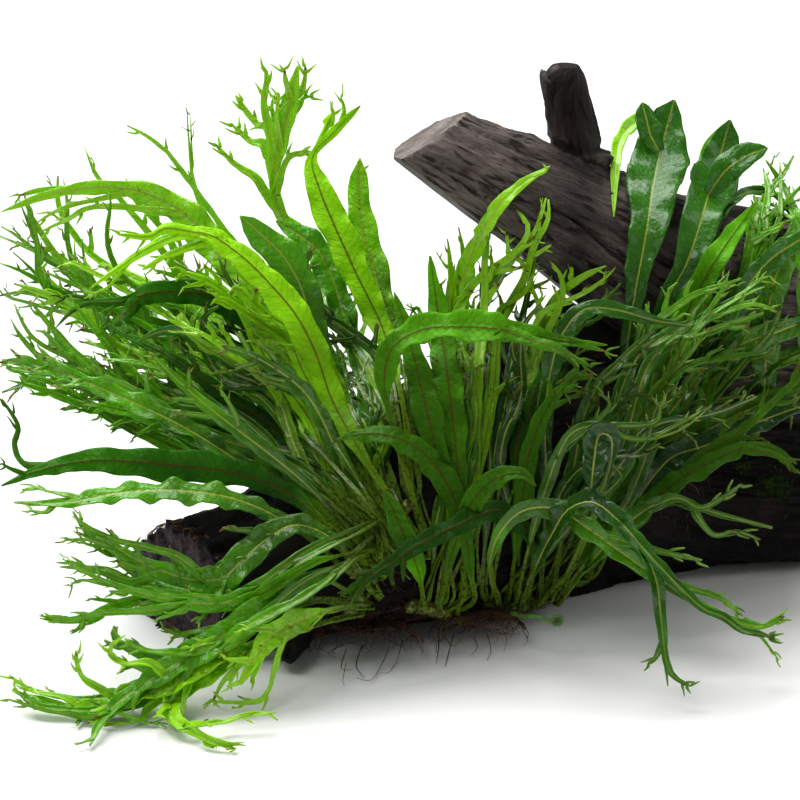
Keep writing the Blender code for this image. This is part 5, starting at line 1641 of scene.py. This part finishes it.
def frond_finish(name, colour, rib, rib_half, rough, dull):
    """Wet fern leaf: soft green flesh that light soaks into, under a thin glossy skin.

    The eye sees a pale or brown midrib, faint slanting side veins, a fine net between them, browned
    tips and an olive stem with brown dots.
    """
    colours = bpy.context.scene.fern_colours
    material, add = new_finish(
        name, IOR=1.45, Specular_IOR_Level=0.12 if dull else 0.22, Coat_Weight=0.0 if dull else 0.3,
        Coat_Roughness=0.1, Subsurface_Weight=0.22, Subsurface_Scale=0.0016,
        Subsurface_Radius=(0.6, 1.0, 0.2))
    spot = add("TexCoord")["Object"]
    place = add("Attribute", attribute_name="leaf_place")["Vector"]
    wear = add("Attribute", attribute_name="leaf_wear")["Vector"]
    across, along, half = add("SeparateXYZ", {0: place})
    burnt, stem, shade = add("SeparateXYZ", {0: wear})
    away = add("Math", {0: across}, operation="ABSOLUTE")[0]

    # Tone: random patches and the frond's own tint, with painted shade in the plant's heart and painted
    # light at its rim. Its dark end darkens the flesh and the stems' olive as painted shade.
    patches = add("TexNoise", {"Vector": spot, "Scale": 1 / PATCH_SIZE, "Detail": 3.0})[0]
    tone = add("Math", {0: shade, 1: 0.16, 2: patches}, operation="MULTIPLY_ADD")[0]
    tone = add("MapRange", {0: tone, 1: 0.3, 2: 0.72})[0]
    flesh_with_painted_shade = add("Mix", {0: tone, 6: paint(colour, 0.34), 7: paint(colour, 1.05)}, data_type="RGBA")[2]

    wander = add("TexNoise", {"Vector": spot, "Scale": 1 / WANDER_SIZE, "Detail": 1.0})[0]
    bent = add("Math", {0: wander, 1: 0.005, 2: along}, operation="MULTIPLY_ADD")[0]
    slant = add("Math", {0: away, 1: -0.8, 2: bent}, operation="MULTIPLY_ADD")[0]
    turn = add("Math", {0: slant, 1: 2 * math.pi / VEIN_SPACING}, operation="MULTIPLY")[0]
    swing = add("Math", {0: turn}, operation="SINE")[0]
    vein = add("MapRange", {0: swing, 1: 0.8, 2: 1.0})[0]
    broad = add("MapRange", {0: half, 1: 0.0025, 2: 0.006})[0]
    vein = add("Math", {0: vein, 1: broad}, operation="MULTIPLY")[0]
    net = add("TexVoronoi", {"Vector": spot, "Scale": 1 / NET_SPACING}, feature="DISTANCE_TO_EDGE")[0]
    net = add("MapRange", {0: net, 1: 0.09, 2: 0.0})[0]
    lines = add("Math", {0: net, 1: 0.22, 2: vein}, operation="MULTIPLY_ADD")[0]
    lines = add("Math", {0: lines, 1: 0.2}, operation="MULTIPLY")[0]
    veined = add("Mix", {0: lines, 6: flesh_with_painted_shade, 7: paint(colour, 0.38)}, data_type="RGBA")[2]

    thread = add("MapRange", {0: away, 1: rib_half, 2: rib_half * 0.4})[0]
    room = add("MapRange", {0: half, 1: 0.0008, 2: 0.005, 3: 0.3, 4: 0.8})[0]
    thread = add("Math", {0: thread, 1: room}, operation="MULTIPLY")[0]
    ribbed = add("Mix", {0: thread, 6: veined, 7: paint(rib)}, data_type="RGBA")[2]
    olive = add("Mix", {0: tone, 6: paint(colours.stem, 0.85), 7: paint(colours.stem)}, data_type="RGBA")[2]
    dots = add("TexNoise", {"Vector": spot, "Scale": 1 / DOT_SPACING, "Detail": 1.0})[0]
    dots = add("MapRange", {0: dots, 1: 0.56, 2: 0.62, 4: 0.8})[0]
    olive = add("Mix", {0: dots, 6: olive, 7: paint("33210C")}, data_type="RGBA")[2]
    stemmed = add("Mix", {0: stem, 6: ribbed, 7: olive}, data_type="RGBA")[2]
    ending = add("Mix", {0: burnt, 6: stemmed, 7: paint(colours.burnt)}, data_type="RGBA")[2]

    drops = add("TexNoise", {"Vector": spot, "Scale": 1 / DROP_SIZE, "Detail": 2.0})[0]
    gloss = add("MapRange", {0: drops, 1: 0.35, 2: 0.65, 3: rough, 4: rough + 0.22})[0]
    gloss = add("Math", {0: stem, 1: 0.4, 2: gloss}, operation="MULTIPLY_ADD")[0]
    grit = add("TexNoise", {"Vector": spot, "Scale": 1 / GRIT_SIZE, "Detail": 2.0})[0]
    relief = add("Math", {0: lines, 1: -1.1, 2: grit}, operation="MULTIPLY_ADD")[0]
    bump = add("Bump", {"Height": relief, "Strength": 0.9, "Distance": 0.001})[0]
    return show(material, ending, gloss, bump)


def frond_finishes():
    """The two sides of the fronds of each tone: glossy above, duller with a brown midrib beneath."""
    finishes = {}
    for tone in TONES:
        colour = getattr(bpy.context.scene.fern_colours, tone)
        above, beneath = f"wet_{tone}_leaf", f"wet_{tone}_leaf_underside"
        if above not in bpy.data.materials:
            frond_finish(above, colour, "A4AE42", 0.0006, 0.2, False)
            frond_finish(beneath, paint(colour, 1.1), "52300E", 0.0009, 0.42, True)
        finishes[tone] = [bpy.data.materials[above], bpy.data.materials[beneath]]
    return finishes


def wood_finish():
    """Bog-dark driftwood, weathered into long ridges and wet all over, so that it glints."""
    colour = bpy.context.scene.fern_colours.wood
    material, add = new_finish("wet_driftwood", IOR=1.4, Specular_IOR_Level=0.22)
    spot = add("TexCoord")["Object"]
    grain = add("Attribute", attribute_name="grain")["Vector"]
    wear = add("Attribute", attribute_name="wear")["Vector"]
    upper, _, height = add("SeparateXYZ", {0: wear})
    stretched = add("Mapping", {"Vector": grain, "Scale": (0.16, 1.0, 1.0)})[0]
    streaks = add("TexNoise", {"Vector": stretched, "Scale": 1 / STREAK_WIDTH, "Detail": 6.0,
                               "Roughness": 0.75, "Distortion": 0.5})[0]
    splits = add("TexNoise", {"Vector": stretched, "Scale": 1 / SPLIT_WIDTH, "Detail": 3.0})[0]
    splits = add("MapRange", {0: splits, 1: 0.43, 2: 0.32})[0]
    blotches = add("TexNoise", {"Vector": spot, "Scale": 1 / WOOD_BLOTCH, "Detail": 4.0})[0]
    mixed = add("Math", {0: blotches, 1: 0.2, 2: streaks}, operation="MULTIPLY_ADD")[0]
    # Lighter on raised ridges, a painted highlight, and darker in the splits, painted shade, over the
    # grain's own streaks and blotches.
    grain_with_ridge_light_and_crack_shade = add("Math", {0: height, 1: 0.04, 2: mixed}, operation="MULTIPLY_ADD")[0]
    grain_with_ridge_light_and_crack_shade = add("Math", {0: splits, 1: -0.32, 2: grain_with_ridge_light_and_crack_shade}, operation="MULTIPLY_ADD")[0]
    share = add("MapRange", {0: grain_with_ridge_light_and_crack_shade, 1: 0.42, 2: 0.8})[0]
    dark = add("Mix", {0: share, 6: paint(colour, 0.02), 7: paint(colour, 0.22)}, data_type="RGBA")[2]
    pale = add("Mix", {0: share, 6: paint(colour, 0.6), 7: paint("7E736C")}, data_type="RGBA")[2]
    shown = add("Mix", {0: upper, 6: dark, 7: pale}, data_type="RGBA")[2]
    rust = add("TexNoise", {"Vector": spot, "Scale": 1 / RUST_SIZE, "Detail": 3.0})[0]
    rust = add("MapRange", {0: rust, 1: 0.56, 2: 0.7, 4: 0.5})[0]
    shown = add("Mix", {0: rust, 6: shown, 7: paint("35201A")}, data_type="RGBA")[2]
    rough = add("MapRange", {0: streaks, 1: 0.35, 2: 0.65, 3: 0.42, 4: 0.7})[0]
    fine = add("Mapping", {"Vector": grain, "Scale": (0.05, 1.0, 1.0)})[0]
    threads = add("TexNoise", {"Vector": fine, "Scale": 1 / THREAD_WIDTH, "Detail": 3.0})[0]
    relief = add("Math", {0: streaks, 1: 1.6, 2: threads}, operation="MULTIPLY_ADD")[0]
    relief = add("Math", {0: splits, 1: -0.8, 2: relief}, operation="MULTIPLY_ADD")[0]
    bump = add("Bump", {"Height": relief, "Strength": 1.0, "Distance": 0.0014})[0]
    return show(material, shown, rough, bump)


def cut_finish(name, deep, light):
    """Sawn wood, gone grey where it is dry and purple-black where it is wet: saw marks over blotches."""
    material, add = new_finish(name, IOR=1.4, Specular_IOR_Level=0.15)
    spot = add("TexCoord")["Object"]
    grain = add("Attribute", attribute_name="grain")["Vector"]
    stretched = add("Mapping", {"Vector": grain, "Scale": (0.5, 0.5, 1.0)})[0]
    marks = add("TexNoise", {"Vector": stretched, "Scale": 1 / SAW_MARK, "Detail": 5.0})[0]
    blotches = add("TexNoise", {"Vector": spot, "Scale": 1 / CUT_BLOTCH, "Detail": 4.0})[0]
    mixed = add("Math", {0: marks, 1: 0.6, 2: blotches}, operation="MULTIPLY_ADD")[0]
    share = add("MapRange", {0: mixed, 1: 0.6, 2: 1.0})[0]
    shown = add("Mix", {0: share, 6: paint(deep), 7: paint(light)}, data_type="RGBA")[2]
    rough = add("MapRange", {0: blotches, 1: 0.3, 2: 0.7, 3: 0.5, 4: 0.75})[0]
    bump = add("Bump", {"Height": mixed, "Strength": 0.8, "Distance": 0.001})[0]
    return show(material, shown, rough, bump)


def mottled_finish(name, deep, light, size, rough, **values):
    """A finish of two tones in patches of a given size in metres, with a little relief."""
    if name in bpy.data.materials:
        return bpy.data.materials[name]
    material, add = new_finish(name, IOR=1.45, **values)
    spot = add("TexCoord")["Object"]
    patches = add("TexNoise", {"Vector": spot, "Scale": 1 / size, "Detail": 4.0})[0]
    share = add("MapRange", {0: patches, 1: 0.35, 2: 0.65})[0]
    shown = add("Mix", {0: share, 6: paint(deep), 7: paint(light)}, data_type="RGBA")[2]
    gloss = add("MapRange", {0: share, 3: rough - 0.1, 4: rough + 0.1})[0]
    bump = add("Bump", {"Height": patches, "Strength": 0.5, "Distance": size / 6})[0]
    return show(material, shown, gloss, bump)


def rhizome_finish():
    """Fleshy creeping stem, green where young and brown where old."""
    return mottled_finish("fern_rhizome", "3E4A12", "879A30", 0.003, 0.5, Subsurface_Weight=0.1,
                          Subsurface_Scale=0.001)


def root_finish():
    """Wiry fern root: dark brown, thin and a little shiny when wet."""
    return mottled_finish("wiry_fern_root", "22140C", "5E3C22", 0.006, 0.5)


def fibre_finish():
    """Torn wood fibre: dry, orange-brown, dull."""
    return mottled_finish("torn_wood_fibre", "2E1B10", "7A4A24", 0.005, 0.7)


def shoot_finish():
    """Young coiled shoot: smooth, fresh green, glossy."""
    return mottled_finish("young_fern_shoot", "2C5A12", "467E1E", 0.005, 0.35, Subsurface_Weight=0.2,
                          Subsurface_Scale=0.0015)


def moss_finish():
    """Moss: short, dull green tufts."""
    return mottled_finish("cushion_moss", "1E3210", "4A6A1E", 0.004, 0.8)


# ---------------- stage

SKY_STRENGTH = 0.2
SUN_STRENGTH = 4.8
SUN_SPREAD = math.radians(55)
SUN_PLACE = (-0.3, 0.5, 1.0)
# Soft lights: name, place and size in metres, and power in watts.
LIGHTS = [("key", (-0.6, -0.8, 1.4), 0.4, 4.5), ("side", (1.2, 0.1, 0.9), 0.6, 2.5)]
LIT_PLACE = (0.0, 0.0, 0.12)


def make_stage():
    """A plain pale floor, soft lights round the plant, and a camera at the front view."""
    bpy.ops.mesh.primitive_plane_add(size=8)
    floor = bpy.context.object
    floor.name = "floor"
    colour = paint(bpy.context.scene.fern_colours.floor)
    material, _ = new_finish("matt_studio_floor", Roughness=0.9, Base_Color=colour)
    floor.data.materials.append(material)
    world = bpy.data.worlds.new("studio")
    bpy.context.scene.world = world
    world.use_nodes = True
    sky = world.node_tree.nodes["Background"].inputs
    sky["Color"].default_value = (1, 1, 1, 1)
    sky["Strength"].default_value = SKY_STRENGTH
    bpy.ops.object.light_add(type="SUN", location=(0, 0, 2))
    sun = bpy.context.object
    sun.name = "overhead_light"
    sun.data.energy = SUN_STRENGTH
    sun.data.angle = SUN_SPREAD
    sun.rotation_euler = Vector(SUN_PLACE).to_track_quat("Z", "Y").to_euler()
    for name, place, size, power in LIGHTS:
        bpy.ops.object.light_add(type="AREA", location=place)
        light = bpy.context.object
        light.name = f"{name}_light"
        light.data.size = size
        light.data.energy = power
        facing = Vector(LIT_PLACE) - Vector(place)
        light.rotation_euler = facing.to_track_quat("-Z", "Y").to_euler()
    place = to_world([(0, 0, 1 - VIEW_DISTANCE)])[0]
    bpy.ops.object.camera_add(location=Vector(place), rotation=(math.pi / 2 - VIEW_TILT, 0, 0))
    camera = bpy.context.object
    camera.data.sensor_width = SENSOR_WIDTH
    camera.data.lens = SENSOR_WIDTH * VIEW_DISTANCE / VIEW_WIDTH
    bpy.context.scene.camera = camera
    bpy.context.scene.view_settings.view_transform = "Standard"


# ---------------- add-on

class FERN_OT_driftwood(bpy.types.Operator):
    """Make the forked piece of driftwood with its saw cuts and torn fibres"""
    bl_idname = "fern.driftwood"
    bl_label = "Driftwood"

    def execute(self, context):
        make_driftwood()
        make_end_fibres()
        return {"FINISHED"}


class FERN_OT_rhizomes(bpy.types.Operator):
    """Make the scaly creeping stems on the wood"""
    bl_idname = "fern.rhizomes"
    bl_label = "Rhizomes"

    def execute(self, context):
        make_rhizomes()
        return {"FINISHED"}


class FERN_OT_roots(bpy.types.Operator):
    """Make the matted and the single clinging roots"""
    bl_idname = "fern.roots"
    bl_label = "Roots"

    def execute(self, context):
        make_roots()
        return {"FINISHED"}


class FERN_OT_fiddlehead(bpy.types.Operator):
    """Make the young coiled frond"""
    bl_idname = "fern.fiddlehead"
    bl_label = "Fiddlehead"

    def execute(self, context):
        make_fiddlehead()
        return {"FINISHED"}


class FERN_OT_fronds(bpy.types.Operator):
    """Make the fronds that have a route of their own"""
    bl_idname = "fern.fronds"
    bl_label = "Fronds"

    def execute(self, context):
        make_named_fronds(frond_finishes(), surface_tree(WOOD_NODES), surface_tree(RHIZOME_NODES))
        return {"FINISHED"}


class FERN_OT_crowds(bpy.types.Operator):
    """Make the crowds of narrow fronds that fill the plant out"""
    bl_idname = "fern.crowds"
    bl_label = "Crowds of fronds"

    def execute(self, context):
        finishes = frond_finishes()
        trees = surface_tree(WOOD_NODES), surface_tree(RHIZOME_NODES)
        make_sprays(finishes, trees)
        make_crowds(finishes, trees)
        return {"FINISHED"}


class FERN_OT_moss(bpy.types.Operator):
    """Make the moss in the cleft of the wood"""
    bl_idname = "fern.moss"
    bl_label = "Moss"

    def execute(self, context):
        make_moss()
        return {"FINISHED"}


class FERN_OT_stage(bpy.types.Operator):
    """Set up the floor, the lights and the camera"""
    bl_idname = "fern.stage"
    bl_label = "Stage"

    def execute(self, context):
        make_stage()
        return {"FINISHED"}


STEPS = [FERN_OT_driftwood, FERN_OT_rhizomes, FERN_OT_roots, FERN_OT_fiddlehead, FERN_OT_fronds,
         FERN_OT_crowds, FERN_OT_moss, FERN_OT_stage]


class FERN_PT_panel(bpy.types.Panel):
    """Lists the steps that build the fern"""
    bl_idname = "FERN_PT_panel"
    bl_label = "Java fern on driftwood"
    bl_space_type = "VIEW_3D"
    bl_region_type = "UI"
    bl_category = "Fern"

    def draw(self, context):
        for step in STEPS:
            self.layout.operator(step.bl_idname)
        for group in (context.scene.fern_sizes, context.scene.fern_colours):
            for key in group.__annotations__:
                self.layout.prop(group, key)


CLASSES = [FernSizes, FernColours, *STEPS, FERN_PT_panel]


def register():
    for item in CLASSES:
        bpy.utils.register_class(item)
    bpy.types.Scene.fern_sizes = bpy.props.PointerProperty(type=FernSizes)
    bpy.types.Scene.fern_colours = bpy.props.PointerProperty(type=FernColours)


def unregister():
    del bpy.types.Scene.fern_colours
    del bpy.types.Scene.fern_sizes
    for item in reversed(CLASSES):
        bpy.utils.unregister_class(item)


def main():
    register()
    bpy.ops.fern.driftwood()
    bpy.ops.fern.rhizomes()
    bpy.ops.fern.roots()
    bpy.ops.fern.fiddlehead()
    bpy.ops.fern.fronds()
    bpy.ops.fern.crowds()
    bpy.ops.fern.moss()
    bpy.ops.fern.stage()
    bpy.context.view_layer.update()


if __name__ == "__main__":
    main()
